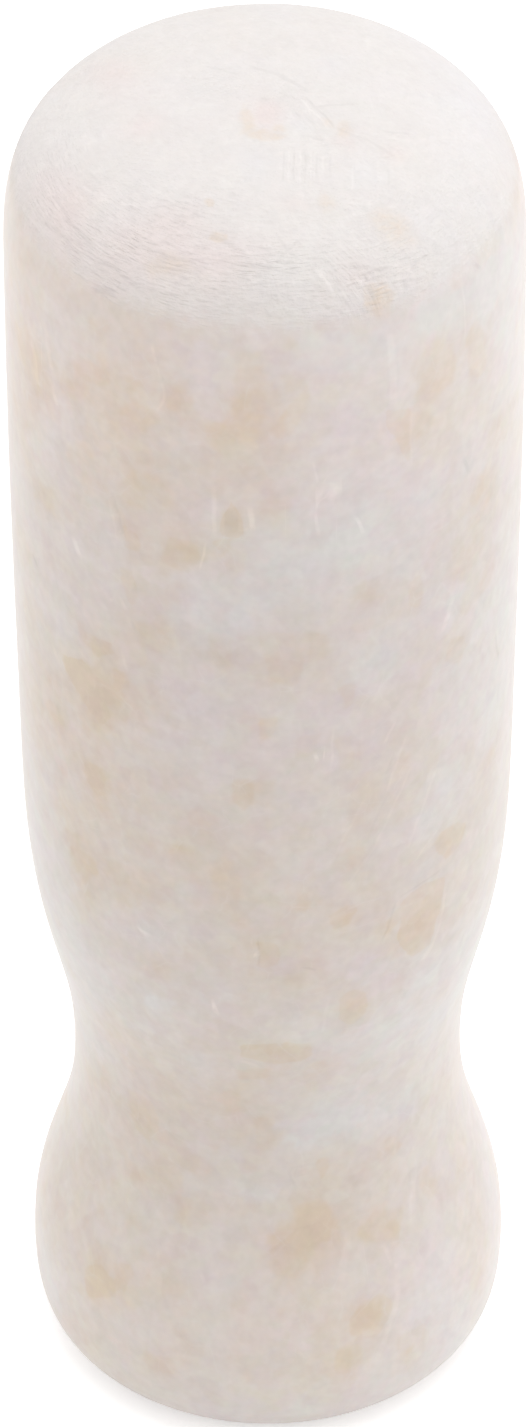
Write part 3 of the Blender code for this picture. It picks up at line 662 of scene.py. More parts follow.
# Broad warm and, below 0, cool parts: turn, height, width, tall, warmth in hundredths, and the lean
# in degrees of those that lean
warmthParts = [
    (-30, 110, 22, 24, 12), (-64, 109.5, 7, 7, 34, 20), (-70, 101, 4, 9, 18), (-70, 118, 6, 5, 12),
    (-40, 113.5, 4.5, 2.5, 20, -5), (-29.5, 113.5, 2.5, 2.5, 16), (-19.5, 113.5, 2, 3, 16),
    (-47, 110.8, 3, 2.5, 16), (-33, 109.5, 3.5, 3, 20), (-25, 111.3, 4, 1.5, 14),
    (-25, 104.5, 5, 4.5, 22), (-5, 113.5, 3.5, 5, 26), (-8.5, 110.8, 3, 3, 24), (4, 112.3, 3.2, 4, 16),
    (-5, 107, 4, 6, 8), (-7.5, 101.8, 2, 2.4, 10), (-7, 98.5, 2, 2.5, 10), (-19, 98.7, 4.5, 2.6, 18, 20),
    (-31.5, 98.5, 1.8, 3, 14), (-31.5, 93.5, 2.4, 3, 16), (-58.5, 97, 4, 3, 20),
    (-27.5, 89, 4.5, 2.4, 14, 10), (-72, 88.5, 4, 3.5, 20), (7, 88.5, 5, 3, 16, 5), (5, 86.5, 4, 3, 6),
    (-10, 88.5, 2.4, 3.5, 8), (-40, 85.3, 4, 3, 22, 20), (-45, 80.5, 6, 5.5, 40, -25),
    (-34, 82.5, 3, 2.5, 16, 30), (-32, 79, 4, 3, 14), (-43.5, 76, 2, 2.5, 22), (-42.5, 71, 2.5, 3.2, 30),
    (-55.5, 73, 2.5, 3.5, 24), (-68, 71, 6, 6, 22, 30), (-67.5, 81.5, 2.5, 4.5, 20),
    (-15.5, 70, 3, 2.5, 14), (-4.5, 74, 3.2, 2.6, 16), (0, 80.7, 1.5, 1.8, 10),
    (34, 109.5, 4.5, 4.5, 16, -20), (41, 112.3, 3, 2.5, 20), (40, 115, 4, 3, 12), (53, 112, 4, 8, 10),
    (65, 102.5, 6, 3, 17), (77, 102.5, 3, 3, 12), (56, 98.5, 3.5, 3, 14), (61, 95.5, 3.5, 2.5, 14, -30),
    (22, 93.5, 3, 1.8, 10, -30), (35, 91.3, 1.6, 2.6, 10), (60, 88.5, 2.6, 3, 12), (48, 83.5, 3, 3.2, 14),
    (54, 87.2, 2, 1.6, 8), (52, 93, 4, 5, 10), (65, 80, 1.6, 3, 8), (-20, 66.8, 3.4, 1.6, 22),
    (-8, 65, 3, 4, 22, -10), (-5, 62, 2.4, 2.5, 22), (-42, 66, 10, 5, 8, 45), (-35, 63, 10, 6, 10),
    (-47.5, 60.5, 4.5, 5, 28, 25), (-50, 57.5, 3, 4, 12), (8, 62, 2, 2, 16), (18.5, 65, 3, 3, 10),
    (18, 59, 2.4, 2.4, 16), (48.5, 63.2, 4.5, 1.8, 27), (65, 68, 3.5, 4, 17), (55, 70.5, 2.4, 3, 12),
    (0.5, 56.3, 1.6, 3, 16), (6.5, 53, 1.6, 2, 14), (41, 57.3, 3.2, 4.2, 18), (38.5, 54.5, 2.4, 3, 18),
    (21, 48.3, 2.2, 3, 32), (-1, 43.6, 3.4, 1.7, 27), (6, 43.5, 2.4, 1.6, 10), (-3, 40.5, 2.6, 2, 14),
    (-10, 36.5, 2, 2, 14), (-6, 38.5, 1.6, 3, 14, 35), (-4, 34, 5, 5, 10), (-47, 41, 4, 5, 17),
    (-57, 40.5, 3, 2, 14), (-40, 31.2, 3.4, 3.5, 28), (-30, 34.5, 3, 4, 20), (-57, 33, 3.5, 1.8, 22, 30),
    (-63, 30, 3, 3, 20, 40), (-72, 31, 3, 2, 15), (-41, 25, 3.4, 1.8, 18, 20), (-34, 26.3, 2, 1.4, 14),
    (-25, 23.5, 1.8, 1.8, 12), (-15, 24.5, 2.4, 2, 10), (-60, 20, 2, 1.6, 10), (-70, 25.5, 3, 2, 14),
    (12, 23.5, 4, 4, 38), (6, 20.7, 4, 3.4, 20), (16, 21.5, 2.4, 3, 18), (16.7, 28.5, 1.6, 1.8, 12),
    (40.5, 27.8, 2.6, 1.8, 12, -15), (31, 21.2, 3, 1.6, 20), (52.5, 21.8, 2, 2.2, 10),
    (70, 22.5, 3, 2.6, 12), (68, 29, 5, 2.6, 16, -30), (-47.5, 13.3, 3, 3.2, 32, 30),
    (-40, 15, 2.2, 1.8, 20, 30), (-25, 17, 2, 2, 12), (-75, 15, 5, 4, 16), (24.5, 13, 2.8, 3, 26),
    (28.5, 14, 1.8, 2, 25), (19, 9.5, 2.2, 2.6, 22), (14, 12, 1.4, 4, 12), (-26.5, 8.2, 3, 1.6, 14, 20),
    (-52.5, 6, 3.6, 2, 18), (-58, 9.5, 2, 4, 12), (65, 11, 4, 6, 12), (-40, 82, 10, 6, 10),
    (-10, 97, 4, 6, 14), (-41, 102, 5, 4, 8), (-60, 77, 5, 4, 12), (-35, 74, 9, 5, 10),
    (-20, 76, 4, 3, 10), (0, 58, 5, 4, 12), (10, 52, 4, 3, 12), (0, 44, 4, 3, 10), (-32, 38, 7, 4, 13),
    (6, 28, 6, 3, 12), (30, 20, 8, 3, 10), (-20, 12, 4, 3, 12), (8, 36, 3, 2, 8), (-45, 68, 4, 3, 16),
    (-60, 74, 4, 5, 12), (-50, 65, 3, 3, 12), (-60, 91, 4, 3, 12), (30, 56, 3, 3, 8), (-20, 64, 4, 3, 1),
    (-34, 27, 5, 3, 14), (-20, 27.5, 3, 2, 4), (-50, 24, 4, 6, 10), (-50, 16, 3, 3, 5),
    (-50, 56, 3, 3, 12), (0, 85, 4, 4, 12), (40, 21, 3, 3, 10), (40, 72, 2, 3, 16), (-30, 72, 3, 3, 10),
    (-40, 104, 3, 3, 7), (0, 32, 3, 3, 10), (0, 8, 6, 3, 10), (20, 8, 4, 3, 8), (-65, 21, 4, 4, 8),
    (-20, 88, 3, 3, 8), (-28, 60, 3, 2, 6), (10, 68, 3, 3, 2), (-56, 5, 5, 3, 16), (-70, 80, 3, 3, 10),
    (-70, 72, 3, 3, 10), (-50, 92, 3, 3, 8), (-50, 55, 3, 3, 8), (-30, 52, 3, 3, 10), (50, 64, 3, 2, 9),
    (51, 44, 3, 3, 10), (60, 40, 3, 3, 10), (20, 28, 3, 2, 4), (0, 28, 3, 2, 9), (-30, 16, 3, 3, 9),
    (-62, 77, 4, 3, 9), (-40, 68, 3, 3, 10), (40, 28, 3, 3, 10), (-40, 20, 3, 3, 10),
    (-2, 117, 3, 3.5, 12), (-60, 4, 4, 3, 18), (7, 116, 2.2, 4, 12), (50, 108, 3, 3, 10),
    (62, 10, 3, 4, 10), (-8, 16, 5, 4, 8), (15, 99, 12, 8, -30, 10), (20, 100, 5.5, 6, -10),
    (-2, 99, 6, 4, -20), (20, 111, 9, 18, -22), (-15, 94.3, 4.5, 4, -28), (-12, 92, 5, 4, -20, 20),
    (-3, 95, 4, 5, -20), (9, 94, 3, 3, -20), (32.5, 94.8, 2, 2.2, -28), (27, 85.8, 4.5, 3.5, -32),
    (47, 88.7, 2, 3, -25), (42, 101.5, 4, 3, -20), (50, 104, 3, 6, -20, 15), (37, 101, 3, 3, -18),
    (15, 105, 2, 1.6, -15), (-15, 83, 6, 5, -18), (-13, 78, 5, 4, -17), (10, 82, 5, 4, -10),
    (8, 72, 6, 3, -18), (47, 79, 4.5, 6, -20), (45, 70, 2, 7, -26, 20), (40, 67, 2.4, 3, -25),
    (62, 73, 3, 4, -20), (60, 84, 6, 5, -15), (-53, 114.5, 4, 4, -20), (-51, 106, 3, 10, -17),
    (-46, 95, 8, 8, -14), (-55, 85, 4, 8, -17), (-37, 96, 2.5, 5, -20), (-13, 114.5, 1.4, 5, -18),
    (-12, 118, 2.6, 3, -14), (-13, 103, 2, 3.4, -20), (-20, 76.5, 8, 3, -15), (-19, 63, 1.2, 5, -17),
    (-28, 56.5, 6, 2.4, -28, 20), (-58, 56.5, 2.4, 4, -20, 20), (-52, 49, 4, 6, -20, 20),
    (-30, 48.3, 2.4, 3, -26), (-14, 51, 3, 4, -17), (-35, 45, 3, 4, -12, 20), (25, 53, 4, 4, -20),
    (14, 46.5, 2.4, 4, -20), (33, 43.5, 7, 5, -28, -25), (45, 48.5, 4, 3, -26), (55, 40, 6, 3, -15, -20),
    (18, 34.5, 5, 5.5, -36), (10, 32.5, 4, 2, -28), (35, 33, 5, 1.6, -28, -5), (45, 31.7, 3, 2.4, -28),
    (5, 29, 2.4, 4, -17), (-10, 29.5, 1.6, 4, -17), (-6, 26.5, 5, 1.6, -24), (3, 27, 3, 2, -20),
    (-13, 18.5, 4.5, 3, -20), (23.5, 18.5, 1.8, 3, -24), (-30, 12, 1.4, 2, -10), (5, 11, 2.4, 2, -12),
    (-13, 10, 1.6, 5, -15), (48, 13, 6, 10, -28), (45, 22, 2, 4, -20), (28, 7, 2, 6, -22, -10),
    (50, 7, 4, 5, -20), (81, 15, 3, 10, -20), (-17, 40.8, 2, 2.4, -17), (-60, 36, 5, 2, -12, 30),
    (66, 114, 11, 9, -30), (58, 82, 12, 46, -10), (-22, 109, 8, 7, -14), (9, 88, 16, 8, -12),
    (22, 80, 14, 5, -10), (-40, 65, 4, 3, -8), (-66, 54, 9, 16, -18), (-50, 46, 5, 5, -16),
    (32, 47, 6, 8, -12), (41, 61, 4, 2.6, -14), (10, 44, 3, 3, -8), (25, 34, 8, 4, -14),
    (52, 40, 9, 8, -16), (0, 16, 3, 3, -12), (41, 11.5, 4, 4, -16), (0, 3, 60, 5, -14),
    (18, 119, 9, 4, -18), (55, 118, 6, 4, -12), (66, 44, 9, 10, -20), (70, 76, 8, 14, -16),
    (70, 103, 5, 8, -14), (58, 119, 12, 5, -20), (22, 120, 12, 3, -12), (-10, 118, 4, 6, -16),
    (70, 6, 12, 8, -24), (70, 25, 8, 8, -14), (-40, 92, 3, 3, -14), (-10, 92, 3, 3, -18),
    (-52, 105, 3, 4, -18), (12, 77, 8, 5, -12), (-64, 40, 9, 6, -14), (-68, 9, 6, 5, -18),
    (-30, 48, 3, 3, -26), (-18, 71, 4, 4, -12), (52, 72, 6, 6, -14), (30, 67, 3, 3, -13),
    (10, 48, 3, 3, -14), (40, 91, 3, 3, -12), (27, 88, 4, 3, -10), (-48, 84, 5, 4, -12),
    (10, 108, 3, 3, -16), (0, 4, 8, 3, -12), (45, 4, 10, 4, -16), (22, 35, 4, 3, -12),
    (30, 105, 3, 12, -8), (-30, 77, 3, 3, -12), (22, 52, 3, 2, -12), (52, 88, 4, 4, -10),
    (32, 42, 4, 3, -8), (-50, 44, 4, 3, -10), (62, 120, 12, 4, -16), (42, 120, 4, 3, -14),
    (-50, 116, 4, 4, -13), (10, 116, 4, 4, -18), (30, 115, 3, 5, -13), (66, 108, 8, 6, -12),
    (-70, 106, 3, 6, -14), (53, 101.5, 5, 3, -13), (-52, 104, 3, 3, -10), (-71, 96, 3, 4, -12),
    (40, 92, 3, 3, -10), (72, 88, 4, 5, -12), (-10, 81, 3, 4, -13), (30, 84, 3, 3, -10),
    (71, 79, 4, 8, -12), (50, 76, 3, 3, -10), (71, 66, 4, 6, -11), (40, 66, 3, 4, -11),
    (10, 66, 3, 4, -12), (-71, 58, 4, 9, -15), (42, 50, 5, 3, -12), (60, 50, 5, 5, -14),
    (-60, 46, 4, 5, -10), (10, 46, 3, 3, -11), (72, 44, 5, 5, -18), (-71, 42, 4, 5, -13),
    (45, 38, 6, 4, -14), (-70, 33, 4, 5, -13), (30, 32, 4, 3, -12), (50, 27, 4, 5, -12),
    (-10, 15, 4, 4, -12), (64, 16, 6, 5, -18), (40, 12, 4, 3, -6), (72, 9, 5, 6, -16),
    (-70, 9, 4, 4, -12), (-30, 11, 3, 3, -10), (0, 44, 3, 2, -10), (-30, 112, 3, 2.5, -18),
    (-30, 104, 3, 3, -16), (10, 72, 3, 3, -12), (-70, 44, 3, 3, -16), (20, 108, 3, 3, -8),
    (-30, 76, 3, 3, -8), (70, 118, 5, 5, -14), (-70, 64, 3, 3, -7), (70, 56, 3, 3, -8),
    (-70, 36, 4, 4, -8), (70, 32, 4, 4, -8), (-70, 7, 3, 4, -14), (4, 3, 6, 3, -8), (70, 72, 3, 4, -8),
    (60, 48, 3, 3, -8),
]

# Parts that are rosier or, below 0, greyer, in hundredths
rosyParts = [
    (-72, 109, 8, 12, 100), (-50, 106, 4, 10, 90), (20, 107, 6, 7, 110, -20), (43, 98, 4, 8, 80),
    (70, 95, 4, 6, 100), (-58, 89, 6, 6, 90), (40, 88, 4, 5, 80), (-11, 81, 5, 7, 100),
    (30, 80, 6, 8, 90), (12, 82, 3, 4, 70), (-63, 70, 4, 8, 110, 30), (30, 51, 4, 4, 80, -30),
    (-53, 38, 3, 3, 80), (-15, 18, 5, 3, 70), (47, 15, 4, 5, 70), (-18, 116, 8, 8, 40),
    (-30, 88, 10, 14, 30), (53, 74, 2, 3, 70), (10, 100, 9, 3, -90), (21, 98, 3, 4, -70),
    (-13, 93, 4, 5, -80), (60, 85, 5, 5, -70), (50, 78, 3, 3, -60), (47, 70, 2, 5, -80),
    (-35, 46, 4, 3, -100), (18, 36, 4, 4, -90), (35, 42, 6, 4, -80, -25), (55, 33, 3, 2.4, -90),
    (63, 59, 3, 3, -80), (-45, 22, 6, 6, -50), (0, 6, 30, 4, -60), (5, 67, 8, 4, -40),
    (0, 40, 90, 30, -40), (-68, 60, 10, 90, -40), (68, 60, 10, 90, -60), (-22, 116, 16, 8, 50),
    (0, 18, 60, 10, -40), (0, 6, 70, 5, -60), (-64, 48, 10, 10, -50), (60, 117, 12, 7, -60),
    (-20, 75, 7, 4, 60), (28, 100, 7, 5, 60), (30, 68, 3, 4, 90), (-8, 106, 5, 5, 60), (20, 54, 8, 4, 60),
    (5, 36, 8, 5, 50), (-29, 28, 4, 3, 70), (-11, 28, 3, 3, 70), (25, 20, 30, 4, 50),
    (-18, 88, 6, 4, -60), (-40, 64, 3, 3, -70), (67, 104, 6, 12, -40), (-64, 54, 8, 4, -50),
]

# Parts of the crown that are rosier or, below 0, bluer, in hundredths: x and y seen from above
pinkPatches = [
    (0.1, -1.9, 2, 2.8, 130), (6.4, -5.2, 1.4, 1.4, 60), (17, 6, 6, 14, -90), (13, 14, 6, 6, -70),
    (16, -9, 4, 8, -40), (-13, -12, 3, 3, -60), (-0.6, -8, 2.6, 3.4, -50), (8, -8.8, 2.2, 3, -50),
    (5.6, 5, 2.2, 2.6, -45), (2.8, -3.4, 1.4, 2.2, -45), (0.5, 14, 4, 5, -45), (-15, 13, 5, 5, -40),
    (1, -18, 5, 2.6, -40), (13, -12, 3, 3, -40), (-9.6, -2.4, 2.6, 2.6, 70), (-12, 5.2, 2.8, 5, 60, 20),
    (-6.9, -13, 3.4, 2.6, 60), (-16.5, -8, 3.4, 8, 90, 25), (-12.2, -13, 4, 7, 80, 45),
    (-4.5, -16.5, 9, 3.4, 90, -12), (10.6, -5.8, 1.6, 1.4, 50), (2.5, -12.2, 2, 1.4, 40),
    (7.5, -16.9, 3, 1.4, 50, 15),
]

# Where the crown is scratched most, in hundredths
workedParts = [
    (-11, -14, 10, 6, 100, -38), (0, -18, 10, 4, 100), (10, -16.5, 7, 4, 80, 35), (16, -9, 4, 7, 50),
    (-17, -5, 4, 8, 60), (5, -7, 5, 4, 35), (2, 0, 5, 4, 30), (-14, 8, 4, 8, 25), (-5, -12, 6, 3, 60),
    (8, -12, 5, 3, 40),
]


# Every vertex's place on the stone, with a slight drift so that no edge laid on it is straight
def stonePlaces(mesh, reach):
    flat = numpy.empty(len(mesh.vertices) * 3)
    mesh.vertices.foreach_get("co", flat)
    points = flat.reshape(-1, 3) / millimetre
    noise.seed_set(fragments["seed"])
    drift = numpy.array([noise.noise_vector(Vector(point) / fragments["driftSize"]) for point in points])
    points = points + drift * reach
    x, y, height = points.T
    return {"x": x, "y": y, "height": height, "turn": numpy.degrees(numpy.arctan2(x, -y))}


def sideOffset(places, turn, height):
    turned = (places["turn"] - turn + 180) % 360 - 180
    across = numpy.radians(turned) * radiusAt(height)
    hidden = places["height"] > groundLine + fragments["overlap"]
    return numpy.where(hidden, fragments["farAway"], across), places["height"] - height


def crownOffset(places, x, y):
    hidden = places["height"] < groundLine - fragments["overlap"]
    return numpy.where(hidden, fragments["farAway"], places["x"] - x), places["y"] - y


def leaned(across, up, lean=0):
    cosine, sine = math.cos(math.radians(lean)), math.sin(math.radians(lean))
    return across * cosine + up * sine, up * cosine - across * sine


def localCorner(corner, turn, height):
    return math.radians(corner[0] - turn) * radiusAt(height), corner[1] - height


# Depth inside a shape with straight sides, below 0 outside it
def depthInside(across, up, corners):
    middle = numpy.mean(corners, axis=0)
    depth = None
    for (x1, y1), (x2, y2) in zip(corners, corners[1:] + corners[:1]):
        outward = numpy.array((y2 - y1, x1 - x2)) / math.hypot(x2 - x1, y2 - y1)
        if outward @ (middle - numpy.array((x1, y1))) > 0:
            outward = -outward
        side = (x1 - across) * outward[0] + (y1 - up) * outward[1]
        depth = side if depth is None else numpy.minimum(depth, side)
    return depth


def chipCorners(width, tall, draw):
    count = draw.choice(fragments["chipSides"])
    phase = draw.uniform(0, math.tau)
    corners = []
    for corner in range(count):
        angle = phase + math.tau * (corner + draw.uniform(*fragments["chipSwing"])) / count
        reach = draw.uniform(*fragments["chipReach"])
        corners.append((reach * width / 2 * math.cos(angle), reach * tall / 2 * math.sin(angle)))
    return corners


# For each vertex the depth inside the nearest fragment, that fragment's strength, and how soft its edge is
def fragmentField(places):
    draw = random.Random(fragments["seed"])
    count = len(places["x"])
    field = {
        "depth": numpy.full(count, fragments["outsideDepth"]),
        "strength": numpy.zeros(count),
        "softness": numpy.full(count, fragments["outsideSoftness"]),
    }

    def lay(depth, strength, softness):
        nearer = depth > field["depth"]
        field["depth"][nearer] = depth[nearer]
        field["strength"][nearer] = strength
        field["softness"][nearer] = softness

    for strength, softness, *corners in shapedFragments:
        turn, height = numpy.mean(corners, axis=0)
        across, up = sideOffset(places, turn, height)
        depth = depthInside(across, up, [localCorner(corner, turn, height) for corner in corners])
        lay(depth, strength, softness)
    for turn, height, width, tall, lean, strength, softness in tanFragments:
        across, up = leaned(*sideOffset(places, turn, height), lean)
        depth = depthInside(across, up, chipCorners(width, tall, draw))
        lay(depth, strength, softness * min(width, tall) / 2)
    for _ in range(fragments["backPieces"]):
        turn, height = draw.uniform(*fragments["backTurn"]), draw.uniform(*fragments["backHeight"])
        width = draw.uniform(*fragments["backSize"])
        across, up = leaned(*sideOffset(places, turn, height), draw.uniform(*fragments["backLean"]))
        corners = chipCorners(width, width * draw.uniform(*fragments["backShape"]), draw)
        depth = depthInside(across, up, corners)
        lay(depth, draw.uniform(*fragments["backStrength"]), draw.uniform(*fragments["backSoftness"]))
    for x, y, width, length, turn, strength, softness in crownSpots:
        across, along = leaned(*crownOffset(places, x, y), turn)
        depth = depthInside(across, along, chipCorners(width, length, draw))
        lay(depth, strength, softness * min(width, length) / 2)
    return [field["depth"], field["strength"], field["softness"]]


# For each vertex how far it lies beside the nearest fine line, in half widths, and that line's amount
def lineField(places):
    count = len(places["x"])
    nearest = numpy.full(count, fragments["farAway"])
    aside = numpy.full(count, fragments["outsideLine"])
    amounts = numpy.zeros(count)
    taperLength = fragments["lineTaper"]

    def draw(across, up, reachX, reachY, width, amount):
        reach = math.hypot(reachX, reachY)
        along = (across * reachX + up * reachY) / reach
        beside = (across * reachY - up * reachX) / reach
        distance = numpy.hypot(beside, numpy.maximum(0.0, numpy.abs(along) - reach))
        closer = distance < nearest
        taper = numpy.clip((reach + taperLength / 2 - numpy.abs(along)) / taperLength, 0.0, 1.0)[closer]
        nearest[closer] = distance[closer]
        aside[closer] = (beside / (width / 2))[closer]
        amounts[closer] = amount * taper

    for turn1, height1, turn2, height2, width, amount in fineLines:
        turn, height = (turn1 + turn2) / 2, (height1 + height2) / 2
        reach = localCorner((turn2, height2), turn, height)
        draw(*sideOffset(places, turn, height), *reach, width, amount)
    for x1, y1, x2, y2, width, amount in crownLines:
        x, y = (x1 + x2) / 2, (y1 + y2) / 2
        draw(*crownOffset(places, x, y), x2 - x, y2 - y, width, amount)
    return [aside, amounts]


# Sum of soft-edged patches, each with its amount in hundredths
def patchField(places, rows, offset):
    total = numpy.zeros(len(places["x"]))
    for first, second, width, tall, amount, *lean in rows:
        across, up = leaned(*offset(places, first, second), *lean)
        distance = (across / width) ** 2 + (up / tall) ** 2
        total += amount / 100 * numpy.exp(-distance * fragments["patchFalloff"])
    return total


def layField(mesh, name, columns):
    attribute = mesh.attributes.new(name, "FLOAT_VECTOR", "POINT")
    attribute.data.foreach_set("vector", numpy.stack(columns, axis=1).ravel())


# The middle of the angular piece that each vertex belongs to, and a random tone for each piece
def stonePieces(places):
    draw = random.Random(fragments["seed"] + 1)
    height = groundLine + fragments["pieceAbove"]
    girth = math.tau * fragments["pieceRadius"]
    count = round(height * girth / fragments["pieceSize"] ** 2)
    tree = kdtree.KDTree(count)
    middles = []
    for index in range(count):
        turn, level = draw.uniform(-180, 180), draw.uniform(0, height)
        around, radius = math.radians(turn), radiusAt(level)
        middles.append((turn, level, draw.uniform(-0.5, 0.5)))
        tree.insert((radius * math.sin(around), -radius * math.cos(around), level), index)
    tree.balance()
    found = [tree.find(point)[1] for point in zip(places["x"], places["y"], places["height"])]
    turns, heights, tones = numpy.array(middles)[found].T
    return {"turn": turns, "height": heights, "x": places["x"]}, tones


# How much warmer or cooler the small strewn pieces are at each vertex
def clastField(places):
    draw = random.Random(fragments["seed"] + 2)
    total = numpy.zeros(len(places["x"]))
    smallest, largest = fragments["clastSize"]
    for _ in range(fragments["clasts"]):
        turn, height = draw.uniform(-180, 180), draw.uniform(0, groundLine)
        width = smallest + (largest - smallest) * draw.random() ** 2
        corners = chipCorners(width, width * draw.uniform(*fragments["clastShape"]), draw)
        tone = abs(draw.gauss(0, fragments["clastTone"])) - fragments["clastCooler"]
        tone *= fragments["clastShare"] if abs(turn) < fragments["placedTo"] else 1.0
        near = numpy.flatnonzero(numpy.abs(places["height"] - height) < largest)
        close = {name: values[near] for name, values in places.items()}
        depth = depthInside(*sideOffset(close, turn, height), corners)
        total[near] += tone * numpy.clip(depth / fragments["clastEdge"] + 0.5, 0.0, 1.0)
    return total


def layFields(mesh):
    places = stonePlaces(mesh, fragments["drift"])
    linePlaces = stonePlaces(mesh, fragments["lineDrift"])
    pieces, tones = stonePieces(places)
    share = fragments["pieceShare"]
    warmth = (1 - share) * patchField(places, warmthParts, sideOffset)
    warmth += share * patchField(pieces, warmthParts, sideOffset) + tones * fragments["pieceTone"]
    warmth += clastField(places)
    rosiness = patchField(pieces, rosyParts, sideOffset)
    pink = patchField(places, pinkPatches, crownOffset)
    worked = patchField(places, workedParts, crownOffset)
    layField(mesh, "fragments", fragmentField(places))
    layField(mesh, "lines", lineField(linePlaces) + [worked])
    layField(mesh, "hatching", hatchField(places))
    layField(mesh, "tones", [warmth, rosiness, pink])
    print("fragments laid")


# Colours and finish of the stone. Its colour runs from cool lilac white to warm tan. The shares say
# how strongly each texture shows in the warmth, the rosiness and the level of light and dark.
stone = {
    "tones": [
        # warmth, colour
        (0.00, (0.618, 0.581, 0.566, 1)),
        (0.25, (0.622, 0.560, 0.536, 1)),
        (0.50, (0.615, 0.542, 0.495, 1)),
        (0.75, (0.608, 0.516, 0.445, 1)),
        (1.00, (0.594, 0.486, 0.383, 1)),
    ],
    "warmth": 0.478,
    "warmthShares": {
        "broad": 0.25, "broadBehind": 0.9, "large": 0.36, "middle": 0.12, "small": 0.30, "mottle": 0.10,
    },
    "rosyShares": {
        "placed": 0.65, "broad": 0.5, "broadBehind": 1.4, "middle": 1.2, "large": 2.8, "small": 2.0,
    },
    "rosy": 0.028,             # how much less green a rosiness of 1 leaves
    "level": 0.952,
    "levelShares": {"mottle": 0.09, "middle": 0.050, "small": 0.100, "large": 0.09},
    "paler": 0.09,             # the stone pales a little towards the ground end
    "palerRange": (88.0, 118.0),
    "footPaintedLight": 0.075,        # painted light towards the foot, lifting the shade the floor leaves on the knob
    "footPaintedLightRange": (4.0, 32.0),
    "behindRange": (-6.0, 3.0),    # depth where placed parts give way to clouds
    "behindPull": (9.0, 5.0),  # size and reach
    "behindClouds": 11.0,
    "behindRosy": 12.0,
    "behindShift": (40, 15, 30),
    "coarsePull": (2.4, 1.2),
    "finePull": (0.5, 0.2),
    "largeSize": 3.0,
    "middleSize": 1.7,
    "middleBlending": 0.45,
    "smallSize": 0.8,
    "mottleSize": 0.9,
    "chipRagged": {"small": 0.2, "mottle": 0.35},
    "vein": (0.700, 0.660, 0.640, 1),
    "seams": {"width": 0.07, "amount": 0.08, "patches": 1.6, "range": (0.5, 0.65)},
    "veins": {"width": 0.03, "amount": 0.16, "patches": 4.0, "range": (0.48, 0.66), "size": 3.4},
    "glint": 0.14,             # how much paler a fine line of amount 1 is; on the white specks this paleness is a painted glint
    "glintRange": (0.4, 1.3),  # half widths where it is full and where it ends
    "glintWander": 0.9,
    "polishedRoughness": 0.27,
    "polishedMottle": 0.06,
    "indexOfRefraction": 1.5,
    "scattering": 0.25,
    "scatteringRadius": (1.0, 0.95, 0.9),
    "scatteringScale": 0.002,
}

# Finish of the ground crown
ground = {
    "color": (0.722, 0.699, 0.692, 1),
    "pink": (0.735, 0.660, 0.652, 1),
    "blue": (0.708, 0.704, 0.722, 1),
    "tan": (0.690, 0.600, 0.520, 1),
    "stoneShows": 0.22,
    "tanBase": 0.05,
    "tanMottle": 1.2,
    "edge": (-1.2, 1.0),       # from and to how far above the ground line the finish comes in
    "edgeRagged": 1.2,
    "full": (-2.0, 5.0),       # and where the last of the colour does
    "fullShare": 0.3,
    # painted shade of the scratches' relief: grooves darker, ridges paler
    "scratchPaintedShade": 0.06,
    "pieceShade": 0.014,
    "mottleShade": 0.05,
    "mottleWorked": 0.06,
    "roughness": 0.85,
    "scratchDepth": 0.00012,
    "fineGrain": 0.35,
    "fineGrainShare": 0.25,
    "ringSets": [(0.16, 0.0), (-0.20, 7.0), (0.02, 13.0)],    # slant and shift
    "ringAcross": 2.8,
    "ringAround": 6.5,
    "ringDetail": 2.4,
    "ringShare": 0.12,
    "ringWorked": (0.4, 0.8),  # more where the crown is worked, evenly and in patches
    "hatchAlong": 0.6,
    "hatchAcross": 3.2,
    "hatchTurned": 9.0,
    "grainScale": (0.9, 1.2, 1.5),
    "grainSize": 0.6,
    "grainShare": 0.95,
    "grainWorked": 0.6,
    "patchSize": 3.4,
    "patchShift": (20, 5, 0),
    "patchRange": (0.35, 0.65),
}


# Clouds and angular pieces of three sizes, with crumbled edges, and the place they are laid on
def stoneTextures(paint):
    place = paint.millimetres()
    x, y, z = paint.parts(place)
    broken = paint.pulled(place, *stone["coarsePull"])
    crumbled = paint.pulled(broken, *stone["finePull"])
    return {
        "place": place,
        "x": x,
        "y": y,
        "z": z,
        "broken": broken,
        "crumbled": crumbled,
        "large": paint.parts(paint.clouds(crumbled, stone["largeSize"], 2.0, "Color")),
        "middle": paint.parts(paint.cells(crumbled, stone["middleSize"], stone["middleBlending"])),
        "small": paint.parts(paint.clouds(place, stone["smallSize"], 1.0, "Color")),
        "mottle": paint.clouds(place, stone["mottleSize"], 4.0),
    }


# How far each point lies in a listed fragment, from 0 to the fragment's strength
def fragmentMask(paint, texture):
    depth, strength, softness = paint.attribute("fragments")
    ragged = stone["chipRagged"]
    depth = depth.varied((texture["small"][0], ragged["small"]), (texture["mottle"], ragged["mottle"]))
    return depth.step(0.0 - softness, softness) * strength
